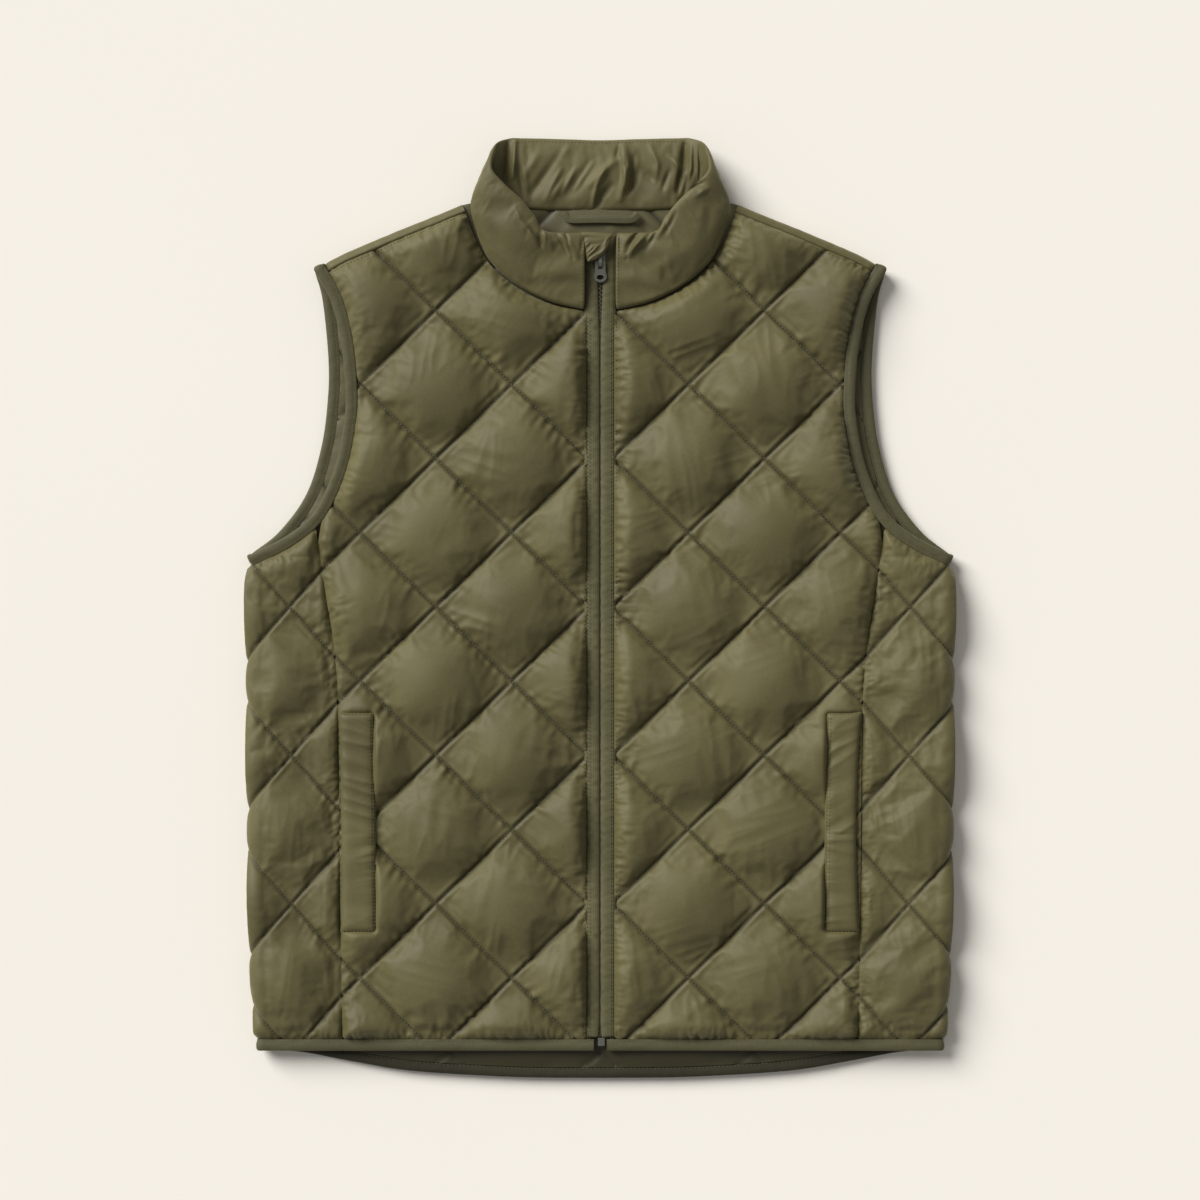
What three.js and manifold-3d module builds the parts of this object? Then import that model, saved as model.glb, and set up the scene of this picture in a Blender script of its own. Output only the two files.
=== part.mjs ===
// A quilted puffer vest laid flat on its back, zipped up to the collar.
// Units are millimetres. X runs across the vest, Y from hem to collar, and Z up from the surface it lies on.
// The origin is on the underside, below the middle of the outline.
import * as THREE from 'three';
import { mergeVertices } from 'three/addons/utils/BufferGeometryUtils.js';
import Module from 'manifold-3d';

const { Vector2, Vector3 } = THREE;
const wasm = await Module();
wasm.setup();

// Heights of the layers above the surface.
const GAP = 0.3;
const BACK_TOP = 11.4;
const FRONT_UNDER = 12;
const SEAM_THICKNESS = 3;
const PILLOW_RISE = 15;
const PILLOW_EDGE = 24;

// The quilting's diamonds: half a diamond each way, and the crossing that the lattice is counted from.
const DIAMOND_HALF_WIDTH = 60.8;
const DIAMOND_HALF_HEIGHT = 59.4;
const LATTICE_OUT = 10;
const LATTICE_UP = 238.8;
const CELLS_PER_HALF_DIAMOND = 5;

// Bindings, zip and welts.
const BINDING_WIDTH = 9.3;
const BINDING_THICKNESS = 4.4;
const FRONT_BINDING_Z = 14.5;
const BACK_BINDING_Z = 6;
const FOLD_REACH = 0.35;
const HEM_EDGE = -354;
const HEM_SEAM = HEM_EDGE + BINDING_WIDTH;
const ZIP_SEAM = 11.2;
const TAPE_UNDER = 13;
const TAPE_THICKNESS = 1.5;
const WELT_WIDTH = 28.4;
const WELT_THICKNESS = 4;
const WELT_TOP = -83;
const WELT_BOTTOM = -259;
const WELT_BED = 6;
const BACK_SEAM = 240;
const UNDERARM_SEAM = 33;
const UNDERARM_EASE = 3;
const SIDE_ROLL = 11.7;
const SHOULDER_ROLL = 7;

// Outlines of one half: out from the centre line, up from the middle of the length.
const SIDE_EDGE = [
  { out: 280.8, up: 43 },
  { out: 282.8, up: 14 },
  { out: 282, up: -73 },
  { out: 281.2, up: -186 },
  { out: 279.4, up: -276 },
  { out: 275.4, up: -354 },
];
const PRINCESS_SEAM = [
  { out: 227.2, up: 61 },
  { out: 220, up: 12 },
  { out: 213.6, up: -29 },
  { out: 209.6, up: -87 },
  { out: 207.8, up: -261 },
  { out: 206.4, up: -345 },
];
const FRONT_ARMHOLE = [
  { out: 229, up: 270.5 },
  { out: 216, up: 246.8 },
  { out: 207.6, up: 214 },
  { out: 204, up: 174 },
  { out: 205.4, up: 147.6 },
  { out: 213, up: 112 },
  { out: 228.8, up: 78 },
  { out: 250, up: 59 },
  { out: 280.6, up: 43 },
];
const BACK_ARMHOLE = [
  { out: 229, up: 269.5 },
  { out: 223, up: 247 },
  { out: 218.4, up: 200 },
  { out: 219, up: 167 },
  { out: 224, up: 130 },
  { out: 236, up: 92 },
  { out: 257.6, up: 62 },
  { out: 280.6, up: 43.6 },
];
const SHOULDER_EDGE = [
  { out: 110.8, up: 324 },
  { out: 130.8, up: 315.6 },
  { out: 158.8, up: 304.4 },
  { out: 187.6, up: 292.4 },
  { out: 207.6, up: 283.6 },
  { out: 221, up: 276.4 },
];
const NECK_SEAM = [
  { out: 107, up: 318 },
  { out: 102.8, up: 302.8 },
  { out: 92, up: 280.4 },
  { out: 78.4, up: 265.6 },
  { out: 59.6, up: 252.8 },
  { out: 37.6, up: 243.2 },
  { out: ZIP_SEAM, up: 237.6 },
];
const BACK_NECK = [
  { out: 0, up: 314 },
  { out: 58, up: 314.4 },
  { out: 86, up: 316.6 },
];
const TAIL_EDGE = [
  { out: 270, up: HEM_EDGE },
  { out: 238.8, up: -356.5 },
  { out: 198, up: -364 },
  { out: 150, up: -371.6 },
  { out: 70, up: -376.4 },
  { out: 0, up: -377.2 },
];

// The collar's stations from the zip round to the centre back: its sewn edge, its top edge and its thickness.
const COLLAR = [
  { seamOut: 12, seamUp: 238.8, seamZ: 15.6, topOut: 12.6, topUp: 300, topZ: 21, thick: 9 },
  { seamOut: 37.6, seamUp: 244.6, seamZ: 16, topOut: 30, topUp: 299.5, topZ: 25, thick: 12 },
  { seamOut: 59, seamUp: 254.4, seamZ: 16.4, topOut: 45, topUp: 301, topZ: 29, thick: 12 },
  { seamOut: 77.4, seamUp: 267.2, seamZ: 17, topOut: 52, topUp: 312, topZ: 32, thick: 12 },
  { seamOut: 90.6, seamUp: 282, seamZ: 18, topOut: 63, topUp: 325, topZ: 34, thick: 12 },
  { seamOut: 101, seamUp: 304, seamZ: 19, topOut: 78, topUp: 338, topZ: 35, thick: 11 },
  { seamOut: 106.4, seamUp: 322, seamZ: 20, topOut: 92, topUp: 349, topZ: 33, thick: 9 },
  { seamOut: 103, seamUp: 329, seamZ: 12, topOut: 93, topUp: 366, topZ: 23, thick: 9 },
  { seamOut: 84, seamUp: 324, seamZ: 7, topOut: 80, topUp: 373, topZ: 12, thick: 10 },
  { seamOut: 58, seamUp: 319.6, seamZ: 6.4, topOut: 60, topUp: 374.6, topZ: 8, thick: 12 },
  { seamOut: 30, seamUp: 318.6, seamZ: 6.4, topOut: 30, topUp: 374.2, topZ: 7.4, thick: 13 },
  { seamOut: 0, seamUp: 318.6, seamZ: 6.4, topOut: 0, topUp: 373.6, topZ: 7, thick: 13 },
];

// The slider, its bridge and the pull tab, measured from the tab's hinge.
const HINGE = { up: 276.8, z: 17.9 };
const SLIDER = { width: 8.6, above: 10.4, below: 4.8, plate: 1.2, neck: 3, bridge: 2.6 };
const TAB = { length: 16, topWidth: 8.4, ringWidth: 10.6, thickness: 1.6, bar: 0.75, droop: 0.12 };

const FABRIC = new THREE.MeshStandardMaterial({ name: 'nylon', color: 0x6b6743, roughness: 0.55 });
const BINDING = new THREE.MeshStandardMaterial({ name: 'binding', color: 0x5f6044, roughness: 0.7 });
const TAPE = new THREE.MeshStandardMaterial({ name: 'zip tape', color: 0x5c5c40, roughness: 0.8 });
const METAL = new THREE.MeshStandardMaterial({ name: 'metal', color: 0x5a5c55, roughness: 0.4, metalness: 0.8 });

// Points of a smooth curve through a table's rows.
function smooth(rows, steps) {
  const curve = new THREE.SplineCurve(rows.map((row) => new Vector2(row.out, row.up)));
  return curve.getSpacedPoints(steps);
}

// The points of a curve moved sideways: a positive distance is to the left of its direction.
function offset(points, distance) {
  return points.map((point, i) => {
    const before = points[Math.max(i - 1, 0)];
    const after = points[Math.min(i + 1, points.length - 1)];
    const along = after.clone().sub(before).normalize();
    return new Vector2(point.x - along.y * distance, point.y + along.x * distance);
  });
}

// The value of one coordinate of a curve where the other has a given value.
function readCurve(points, from, to, value) {
  for (let i = 1; i < points.length; i += 1) {
    const [a, b] = [points[i - 1], points[i]];
    const low = Math.min(a[from], b[from]);
    const high = Math.max(a[from], b[from]);
    if (value >= low && value <= high && high > low) {
      return a[to] + ((value - a[from]) / (b[from] - a[from])) * (b[to] - a[to]);
    }
  }
  const [first, last] = [points[0], points[points.length - 1]];
  return Math.abs(value - first[from]) < Math.abs(value - last[from]) ? first[to] : last[to];
}

// How far a point lies from a closed outline.
function edgeDistance(x, y, outline) {
  let nearest = Infinity;
  outline.forEach((a, i) => {
    const b = outline[(i + 1) % outline.length];
    const [dx, dy] = [b.x - a.x, b.y - a.y];
    const length = dx * dx + dy * dy || 1;
    const t = THREE.MathUtils.clamp(((x - a.x) * dx + (y - a.y) * dy) / length, 0, 1);
    nearest = Math.min(nearest, Math.hypot(x - a.x - t * dx, y - a.y - t * dy));
  });
  return nearest;
}

// A rise from 0 at a seam to 1 at a given distance from it, round like the edge of a pillow.
function roundRise(distance, reach) {
  const left = 1 - THREE.MathUtils.clamp(distance / reach, 0, 1);
  return Math.sqrt(1 - left * left);
}

const latticeAcross = (out) => (out - LATTICE_OUT) / DIAMOND_HALF_WIDTH;
const latticeDown = (up) => (LATTICE_UP - up) / DIAMOND_HALF_HEIGHT;

// The height of a quilted pillow, from 0 on its seams to 1 in its middle.
function pillow(out, up) {
  const [a, b] = [latticeAcross(out), latticeDown(up)];
  const first = Math.abs(Math.sin((Math.PI * (a + b)) / 2));
  const second = Math.abs(Math.sin((Math.PI * (a - b)) / 2));
  return Math.sqrt(first * second);
}

// A closed body from rings of points with the same count. The cap gives triangles that fill the first and
// last ring; with none, the rings join to a loop.
function loft(rings, cap) {
  const count = rings[0].length;
  const vertices = rings.flat();
  const faces = [];
  const lastRing = cap ? rings.length - 1 : rings.length;
  for (let r = 0; r < lastRing; r += 1) {
    const next = (r + 1) % rings.length;
    for (let i = 0; i < count; i += 1) {
      const j = (i + 1) % count;
      const [a, b] = [r * count + i, r * count + j];
      const [c, d] = [next * count + j, next * count + i];
      faces.push([a, b, c], [a, c, d]);
    }
  }
  if (cap) {
    const end = (rings.length - 1) * count;
    cap(rings[0]).forEach(([a, b, c]) => faces.push([a, c, b]));
    cap(rings[rings.length - 1]).forEach(([a, b, c]) => faces.push([end + a, end + b, end + c]));
  }
  return facingOut(vertices, faces);
}

// A cap for a level ring.
function levelCap(ring) {
  const flat = ring.map((point) => new Vector2(point.x, point.y));
  const wanted = Math.sign(THREE.ShapeUtils.area(flat));
  return THREE.ShapeUtils.triangulateShape(flat, []).map(([a, b, c]) => {
    const turn = Math.sign(THREE.ShapeUtils.area([flat[a], flat[b], flat[c]]));
    return turn === wanted ? [a, b, c] : [a, c, b];
  });
}

// A cap for a sheet's section, whose ring runs along the outer face and back along the inner one.
// Partners gives the inner point that lies opposite each outer point.
function sheetCap(partners) {
  return (ring) => {
    const inner = (k) => ring.length - 1 - k;
    const faces = [];
    for (let i = 1; i < partners.length; i += 1) {
      faces.push([i - 1, i, inner(partners[i - 1])]);
      for (let k = partners[i - 1]; k < partners[i]; k += 1) faces.push([i, inner(k + 1), inner(k)]);
    }
    return faces;
  };
}

// Geometry of a closed body with its faces turned outwards.
function facingOut(vertices, faces) {
  const volume = faces.reduce((sum, [a, b, c]) => {
    const cross = new Vector3().crossVectors(vertices[b], vertices[c]);
    return sum + vertices[a].dot(cross);
  }, 0);
  const turned = volume < 0 ? faces.map(([a, b, c]) => [a, c, b]) : faces;
  const geometry = new THREE.BufferGeometry().setFromPoints(vertices);
  geometry.setIndex(turned.flat());
  return geometry;
}

function toSolid(geometry) {
  const bare = geometry.clone();
  bare.deleteAttribute('normal');
  bare.deleteAttribute('uv');
  const merged = mergeVertices(bare, 1e-4);
  const vertProperties = new Float32Array(merged.attributes.position.array);
  const triVerts = new Uint32Array(merged.index.array);
  return new wasm.Manifold(new wasm.Mesh({ numProp: 3, vertProperties, triVerts }));
}

function toGeometry(solid) {
  const mesh = solid.getMesh();
  const geometry = new THREE.BufferGeometry();
  geometry.setAttribute('position', new THREE.BufferAttribute(new Float32Array(mesh.vertProperties), 3));
  geometry.setIndex(new THREE.BufferAttribute(new Uint32Array(mesh.triVerts), 1));
  return geometry;
}

// A plan outline raised straight up between two heights.
function prism(outline, low, high) {
  const geometry = new THREE.ExtrudeGeometry(new THREE.Shape(outline), {
    depth: high - low,
    bevelEnabled: false,
  });
  return geometry.translate(0, 0, low);
}

// A closed outline moved inwards all round.
function inset(outline, distance) {
  const turn = THREE.ShapeUtils.isClockWise(outline) ? -1 : 1;
  return outline.map((point, i) => {
    const before = outline[(i + outline.length - 1) % outline.length];
    const after = outline[(i + 1) % outline.length];
    const along = after.clone().sub(before).normalize();
    const side = turn * distance;
    return new Vector2(point.x - along.y * side, point.y + along.x * side);
  });
}

// A padded plate with flat faces and soft edges.
function paddedPlate(outline, low, high) {
  const depth = high - low;
  const profile = [
    { in: 0.28, rise: 0 },
    { in: 0.07, rise: 0.2 },
    { in: 0, rise: 0.5 },
    { in: 0.07, rise: 0.8 },
    { in: 0.28, rise: 1 },
  ];
  const rings = profile.map((step) =>
    inset(outline, step.in * depth).map((point) => new Vector3(point.x, point.y, low + step.rise * depth)),
  );
  return loft(rings, levelCap);
}

// The armhole, shoulder and neck lines that the panels end on.
const frontArmholeEdge = smooth(FRONT_ARMHOLE, 18);
const backArmholeEdge = smooth(BACK_ARMHOLE, 16);
const frontArmholeSeam = offset(frontArmholeEdge, -BINDING_WIDTH - GAP).reverse();
const backArmholeSeam = offset(backArmholeEdge, -BINDING_WIDTH - GAP).reverse();
const shoulderEdge = smooth(SHOULDER_EDGE, 8);
const princessSeam = smooth(PRINCESS_SEAM, 16);
const sideEdge = smooth(SIDE_EDGE, 16);
const neckSeam = smooth(NECK_SEAM, 14);
const tailEdge = smooth(TAIL_EDGE, 16);

const sideEdgeAt = (up) => readCurve(sideEdge, 'y', 'x', up);
const princessAt = (up) => readCurve(princessSeam, 'y', 'x', up);
const frontArmholeAt = (out) => readCurve(frontArmholeSeam, 'x', 'y', out);
const backArmholeAt = (out) => readCurve(backArmholeSeam, 'x', 'y', out);

// The front's outline, from the zip along the hem and round to the neck.
function frontOutline() {
  const princess = princessSeam.filter((point) => point.y > HEM_SEAM && point.y < 52).reverse();
  const armhole = frontArmholeSeam.filter((point) => point.x < 224 && point.y < 262);
  const shoulder = offset(shoulderEdge, -SHOULDER_ROLL - GAP).filter((point) => point.x < 212).reverse();
  const neck = neckSeam.filter((point) => point.y < 308);
  return [
    new Vector2(ZIP_SEAM + GAP, HEM_SEAM + GAP),
    new Vector2(princessAt(HEM_SEAM) - GAP, HEM_SEAM + GAP),
    ...princess.map((point) => new Vector2(point.x - GAP, point.y)),
    ...armhole,
    ...shoulder,
    ...neck.slice(0, -1),
    new Vector2(ZIP_SEAM + GAP, neck[neck.length - 1].y),
  ];
}

// The bed that a welt lies on: 0 under the welt, rising to 1 round it.
function weltBed(out, up) {
  const inner = princessAt(up) - WELT_WIDTH - 1;
  const along = Math.max(inner - out, up - WELT_TOP - 1, WELT_BOTTOM - 1 - up, 0);
  return THREE.MathUtils.smoothstep(along, 2, 22);
}

// A front's surface: pillows between the seams, flat under the welt.
function frontTop(out, up, outline) {
  const puff = pillow(out, up) * roundRise(edgeDistance(out, up, outline), PILLOW_EDGE);
  const free = SEAM_THICKNESS + PILLOW_RISE * puff;
  return FRONT_UNDER + THREE.MathUtils.lerp(WELT_BED, free, weltBed(out, up));
}

// A slab whose top follows the quilting, on a grid in which the seams run along cell diagonals.
function quiltedSlab(outline) {
  const step = 1 / CELLS_PER_HALF_DIAMOND;
  const columns = 22;
  const rows = 58;
  const firstRow = -8;
  const out = (i) => LATTICE_OUT + (i - 1) * step * DIAMOND_HALF_WIDTH;
  const up = (j) => LATTICE_UP - (j + firstRow) * step * DIAMOND_HALF_HEIGHT;
  const vertices = [];
  for (let j = 0; j <= rows; j += 1) {
    for (let i = 0; i <= columns; i += 1) {
      vertices.push(new Vector3(out(i), up(j), frontTop(out(i), up(j), outline)));
    }
  }
  const at = (i, j) => j * (columns + 1) + i;
  const faces = [];
  for (let j = 0; j < rows; j += 1) {
    for (let i = 0; i < columns; i += 1) {
      const across = Math.floor((i - 1) * step + 1e-6);
      const down = Math.floor((j + firstRow) * step + 1e-6);
      const [a, b, c, d] = [at(i, j), at(i + 1, j), at(i + 1, j + 1), at(i, j + 1)];
      const falling = (across + down) % 2 === 0;
      faces.push(...(falling ? [[a, c, b], [a, d, c]] : [[a, d, b], [b, d, c]]));
    }
  }
  const rim = [];
  for (let i = 0; i < columns; i += 1) rim.push(at(i, 0));
  for (let j = 0; j < rows; j += 1) rim.push(at(columns, j));
  for (let i = columns; i > 0; i -= 1) rim.push(at(i, rows));
  for (let j = rows; j > 0; j -= 1) rim.push(at(0, j));
  const centre = vertices.push(new Vector3(out(columns / 2), up(rows / 2), 0)) - 1;
  const base = vertices.length;
  rim.forEach((index) => vertices.push(new Vector3(vertices[index].x, vertices[index].y, 0)));
  rim.forEach((index, k) => {
    const next = (k + 1) % rim.length;
    faces.push([index, rim[next], base + next], [index, base + next, base + k]);
    faces.push([base + k, base + next, centre]);
  });
  return facingOut(vertices, faces);
}

function frontGeometry() {
  const outline = frontOutline();
  const body = toSolid(quiltedSlab(outline)).intersect(toSolid(prism(outline, FRONT_UNDER, 60)));
  return toGeometry(body);
}

// A side panel from the princess seam over the top, round the side and in under the back.
function sideGeometry() {
  const rows = 33;
  const topSteps = 6;
  const foldSteps = 8;
  const bottomSteps = 3;
  const arms = [];
  for (let i = 0; i <= topSteps; i += 1) arms.push({ arm: 'top', part: i / topSteps });
  for (let i = 1; i <= foldSteps; i += 1) arms.push({ arm: 'fold', part: i / foldSteps });
  for (let i = 1; i <= bottomSteps; i += 1) arms.push({ arm: 'bottom', part: i / bottomSteps });
  const topEnds = (column) => column.arm === 'top' && column.part === 0;
  const inner = arms.filter((column) => column.part === 1 || column.arm === 'bottom' || topEnds(column));
  const partners = arms.map((column) => {
    if (column.arm === 'top') return column.part < 1 ? 0 : 1;
    if (column.arm === 'fold') return column.part < 0.5 ? 1 : 2;
    return 2 + Math.round(column.part * bottomSteps);
  });
  const middle = (FRONT_UNDER + BACK_TOP) / 2;
  const slit = (FRONT_UNDER - BACK_TOP) / 2;

  // The place of a column at a share of the height from the hem to the armhole.
  function place(column, share) {
    let up = HEM_SEAM + GAP;
    let out = 0;
    for (let pass = 0; pass < 5; pass += 1) {
      const end = column.arm === 'top' ? frontArmholeAt(out || 240) : backArmholeAt(out || 270);
      const top = column.arm === 'fold' ? UNDERARM_SEAM : end - UNDERARM_EASE;
      up = THREE.MathUtils.lerp(HEM_SEAM + GAP, top, share);
      const fromEnd = Math.min(up - HEM_SEAM, top - up);
      const roll = THREE.MathUtils.lerp(5.4, SIDE_ROLL, roundRise(fromEnd, 30));
      const centre = sideEdgeAt(up) - roll;
      const seam = princessAt(up) + GAP;
      if (column.arm === 'top') out = THREE.MathUtils.lerp(seam, centre, column.part);
      if (column.arm === 'fold') out = centre;
      if (column.arm === 'bottom') out = THREE.MathUtils.lerp(centre, BACK_SEAM + GAP, column.part);
      place.last = { up, out, roll, fromEnd, fromSeam: out - seam };
    }
    return place.last;
  }

  function outerPoint(column, share) {
    const { up, out, roll, fromEnd, fromSeam } = place(column, share);
    const edges = roundRise(fromEnd, PILLOW_EDGE) * roundRise(fromSeam, PILLOW_EDGE);
    if (column.arm === 'bottom') return new Vector3(out, up, Math.max(middle - roll, 0));
    if (column.arm === 'top') {
      const quilt = SEAM_THICKNESS + PILLOW_RISE * 0.85 * pillow(out, up) * edges;
      const thickness = THREE.MathUtils.lerp(quilt, roll, column.part ** 6);
      return new Vector3(out, up, FRONT_UNDER + thickness);
    }
    const angle = Math.PI * (0.5 - column.part);
    const dent = 1 - 0.12 * (1 - pillow(out + roll * column.part, up)) * Math.cos(angle);
    return new Vector3(out + Math.cos(angle) * roll * dent, up, middle + Math.sin(angle) * roll);
  }

  function innerPoint(column, share) {
    const { up, out } = place(column, share);
    return new Vector3(out, up, column.arm === 'top' ? middle + slit : middle - slit);
  }

  const rings = [];
  for (let j = 0; j <= rows; j += 1) {
    const outer = arms.map((column) => outerPoint(column, j / rows));
    const under = inner.map((column) => innerPoint(column, j / rows)).reverse();
    rings.push([...outer, ...under]);
  }
  return loft(rings, sheetCap(partners));
}

// A folded tape along a path: the path is its folded edge, and it reaches inwards by its width.
function ribbon(path, inward, looped = false) {
  const half = BINDING_THICKNESS / 2;
  const section = [
    { in: 0, rise: 0.45 },
    { in: 0.14, rise: 1 },
    { in: 0.9, rise: 0.9 },
    { in: 1, rise: 0.5 },
    { in: 1, rise: -0.5 },
    { in: 0.9, rise: -0.9 },
    { in: 0.14, rise: -1 },
    { in: 0, rise: -0.45 },
  ];
  const rings = path.map((point, i) => {
    const count = path.length;
    const before = looped ? path[(i + count - 1) % count] : path[Math.max(i - 1, 0)];
    const after = looped ? path[(i + 1) % count] : path[Math.min(i + 1, count - 1)];
    const along = after.clone().sub(before).normalize();
    const across = inward[i].clone().addScaledVector(along, -inward[i].dot(along)).normalize();
    const normal = new Vector3().crossVectors(along, across);
    return section.map((corner) =>
      point
        .clone()
        .addScaledVector(across, corner.in * BINDING_WIDTH)
        .addScaledVector(normal, corner.rise * half),
    );
  });
  return looped ? loft(rings) : loft(rings, sheetCap([0, 1, 2, 3]));
}

// The inward side of a plan curve, as level directions; turn is 1 for left of its direction and -1 for right.
function inwardOf(points, turn) {
  return points.map((point, i) => {
    const along = points[Math.min(i + 1, points.length - 1)].clone().sub(points[Math.max(i - 1, 0)]);
    return new Vector3(-along.y * turn, along.x * turn, 0).normalize();
  });
}

// Where a tape goes round a fold from one layer's height to the other's, on a half circle.
function foldRound(from, to, outward, steps) {
  const middle = (from.z + to.z) / 2;
  const radius = (from.z - to.z) / 2;
  const points = [];
  for (let i = 1; i < steps; i += 1) {
    const angle = (Math.PI * i) / steps;
    const point = from.clone().lerp(to, i / steps);
    point.addScaledVector(outward, Math.abs(radius) * Math.sin(angle) * FOLD_REACH);
    point.z = middle + radius * Math.cos(angle);
    points.push(point);
  }
  return points;
}

function blend(from, to, steps) {
  const directions = [];
  for (let i = 1; i < steps; i += 1) directions.push(from.clone().lerp(to, i / steps).normalize());
  return directions;
}

// One armhole's binding: down the front, round the underarm, up the back and round the shoulder.
function armholeGeometry() {
  const raise = (points, z) => points.map((point) => new Vector3(point.x, point.y, z));
  const front = raise(frontArmholeEdge, FRONT_BINDING_Z);
  const back = raise([...backArmholeEdge].reverse(), BACK_BINDING_Z);
  const frontIn = inwardOf(frontArmholeEdge, -1);
  const backIn = inwardOf([...backArmholeEdge].reverse(), 1);
  const turns = 4;
  const underarm = foldRound(front[front.length - 1], back[0], new Vector3(1, 0, 0), turns);
  const shoulder = foldRound(back[back.length - 1], front[0], new Vector3(0, 1, 0), turns);
  const path = [...front, ...underarm, ...back, ...shoulder];
  const inward = [
    ...frontIn,
    ...blend(frontIn[frontIn.length - 1], backIn[0], turns),
    ...backIn,
    ...blend(backIn[backIn.length - 1], frontIn[0], turns),
  ];
  return ribbon(path, inward, true);
}

// Half of the front hem's binding, from the zip to the side and round the fold.
function frontHemGeometry() {
  const steps = 8;
  const side = sideEdgeAt(HEM_EDGE) - 3;
  const path = [];
  for (let i = 0; i <= steps; i += 1) {
    path.push(new Vector3(THREE.MathUtils.lerp(ZIP_SEAM - 6, side, i / steps), HEM_EDGE, FRONT_BINDING_Z));
  }
  const end = new Vector3(side, HEM_EDGE, BACK_BINDING_Z);
  path.push(...foldRound(path[steps], end, new Vector3(1, 0, 0), 4), end);
  return ribbon(path, path.map(() => new Vector3(0, 1, 0)));
}

// The tail's binding along the whole back hem.
function tailHemGeometry() {
  const half = tailEdge.slice(0, -1);
  const whole = [
    ...half.map((point) => new Vector2(-point.x, point.y)),
    tailEdge[tailEdge.length - 1],
    ...half.reverse().map((point) => point.clone()),
  ];
  const path = whole.map((point) => new Vector3(point.x, point.y, BACK_BINDING_Z));
  return ribbon(path, inwardOf(whole, 1));
}

// The back: a padded plate with its underside flat, and a roll along each shoulder that meets the front.
function backGeometry() {
  const armhole = backArmholeSeam.filter((point) => point.x > 0 && point.y > 82 && point.y < 262);
  const shoulder = shoulderEdge.filter((point) => point.x < 216).reverse();
  const neck = smooth(BACK_NECK, 5).reverse();
  const tail = offset(tailEdge, -BINDING_WIDTH - GAP).reverse().filter((point) => point.x < BACK_SEAM - 4);
  const half = [
    ...tail.slice(1),
    new Vector2(BACK_SEAM, tail[tail.length - 1].y + 1),
    new Vector2(BACK_SEAM, backArmholeAt(BACK_SEAM)),
    ...armhole,
    ...shoulder,
    ...neck,
  ];
  const other = half.slice(0, -1).map((point) => new Vector2(-point.x, point.y)).reverse();
  const outline = [tail[0], ...half, ...other];
  const plate = toSolid(paddedPlate(outline, 0, BACK_TOP));
  const roll = toSolid(shoulderRoll(shoulder));
  return toGeometry(plate.add(roll).add(toSolid(mirrored(shoulderRoll(shoulder)))));
}

// The padded roll over a shoulder, down to the seam with the front.
function shoulderRoll(shoulder) {
  const section = [
    { in: 0.1, z: 11 },
    { in: 1.2, z: 15 },
    { in: 3.6, z: 17.2 },
    { in: SHOULDER_ROLL - GAP, z: 16.2 },
    { in: SHOULDER_ROLL - GAP, z: 6 },
    { in: 0.3, z: 6 },
  ];
  const towards = inwardOf(shoulder, 1);
  const rings = shoulder.map((point, i) =>
    section.map((step) => new Vector3(point.x, point.y, step.z).addScaledVector(towards[i], step.in)),
  );
  return loft(rings, sheetCap([0, 0, 1, 1]));
}

// The stand collar: a padded band that goes round the neck, standing at the sides and lying at the back.
function collarGeometry() {
  const fields = ['seamOut', 'seamUp', 'seamZ', 'topOut', 'topUp', 'topZ', 'thick'];
  const leftHalf = COLLAR.map((row) => ({ ...row, seamOut: -row.seamOut, topOut: -row.topOut }));
  const rows = [...leftHalf, ...COLLAR.slice(0, -1).reverse()];
  const perRow = 2;
  const station = (t) => {
    const i = Math.min(Math.floor(t), rows.length - 2);
    const at = (k) => rows[THREE.MathUtils.clamp(k, 0, rows.length - 1)];
    const part = t - i;
    return Object.fromEntries(fields.map((field) => {
      const [a, b, c, d] = [at(i - 1)[field], at(i)[field], at(i + 1)[field], at(i + 2)[field]];
      const curve = 2 * b + (c - a) * part + (2 * a - 5 * b + 4 * c - d) * part ** 2
        + (3 * b - a - 3 * c + d) * part ** 3;
      return [field, curve / 2];
    }));
  };
  const stations = [];
  for (let k = 0; k <= (rows.length - 1) * perRow; k += 1) stations.push(station(k / perRow));
  const seams = stations.map((row) => new Vector3(row.seamOut, row.seamUp, row.seamZ));
  const tops = stations.map((row) => new Vector3(row.topOut, row.topUp, row.topZ));
  const section = [
    { rise: 0, side: 0.3 },
    { rise: 0.12, side: 0.78 },
    { rise: 0.35, side: 1 },
    { rise: 0.65, side: 1 },
    { rise: 0.9, side: 0.75 },
    { rise: 1, side: 0.2 },
  ];
  const rings = stations.map((row, k) => {
    const middle = (i) => seams[i].clone().add(tops[i]).multiplyScalar(0.5);
    const along = middle(Math.min(k + 1, stations.length - 1)).sub(middle(Math.max(k - 1, 0)));
    const height = tops[k].clone().sub(seams[k]);
    const normal = new Vector3().crossVectors(height, along).normalize();
    const point = (step, sign) => {
      const place = seams[k].clone().addScaledVector(height, step.rise);
      place.addScaledVector(normal, (sign * step.side * row.thick) / 2);
      return new Vector3(place.x, place.y, Math.max(place.z, 0));
    };
    return [
      ...section.map((step) => point(step, 1)),
      ...[...section].reverse().map((step) => point(step, -1)),
    ];
  });
  return loft(rings, sheetCap(section.map((step, i) => i)));
}

// One zip tape, its inner edge drawn back towards the slider.
function tapeGeometry() {
  const innerEdge = [
    { out: 0.3, up: -343 },
    { out: 0.3, up: 218 },
    { out: 1.7, up: 258 },
    { out: 1.9, up: 299 },
  ];
  const outer = ZIP_SEAM - GAP;
  const outline = [
    new Vector2(outer, -343),
    new Vector2(outer, 299),
    ...innerEdge.reverse().map((row) => new Vector2(row.out, row.up)),
  ];
  return prism(outline, TAPE_UNDER, TAPE_UNDER + TAPE_THICKNESS);
}

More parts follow.
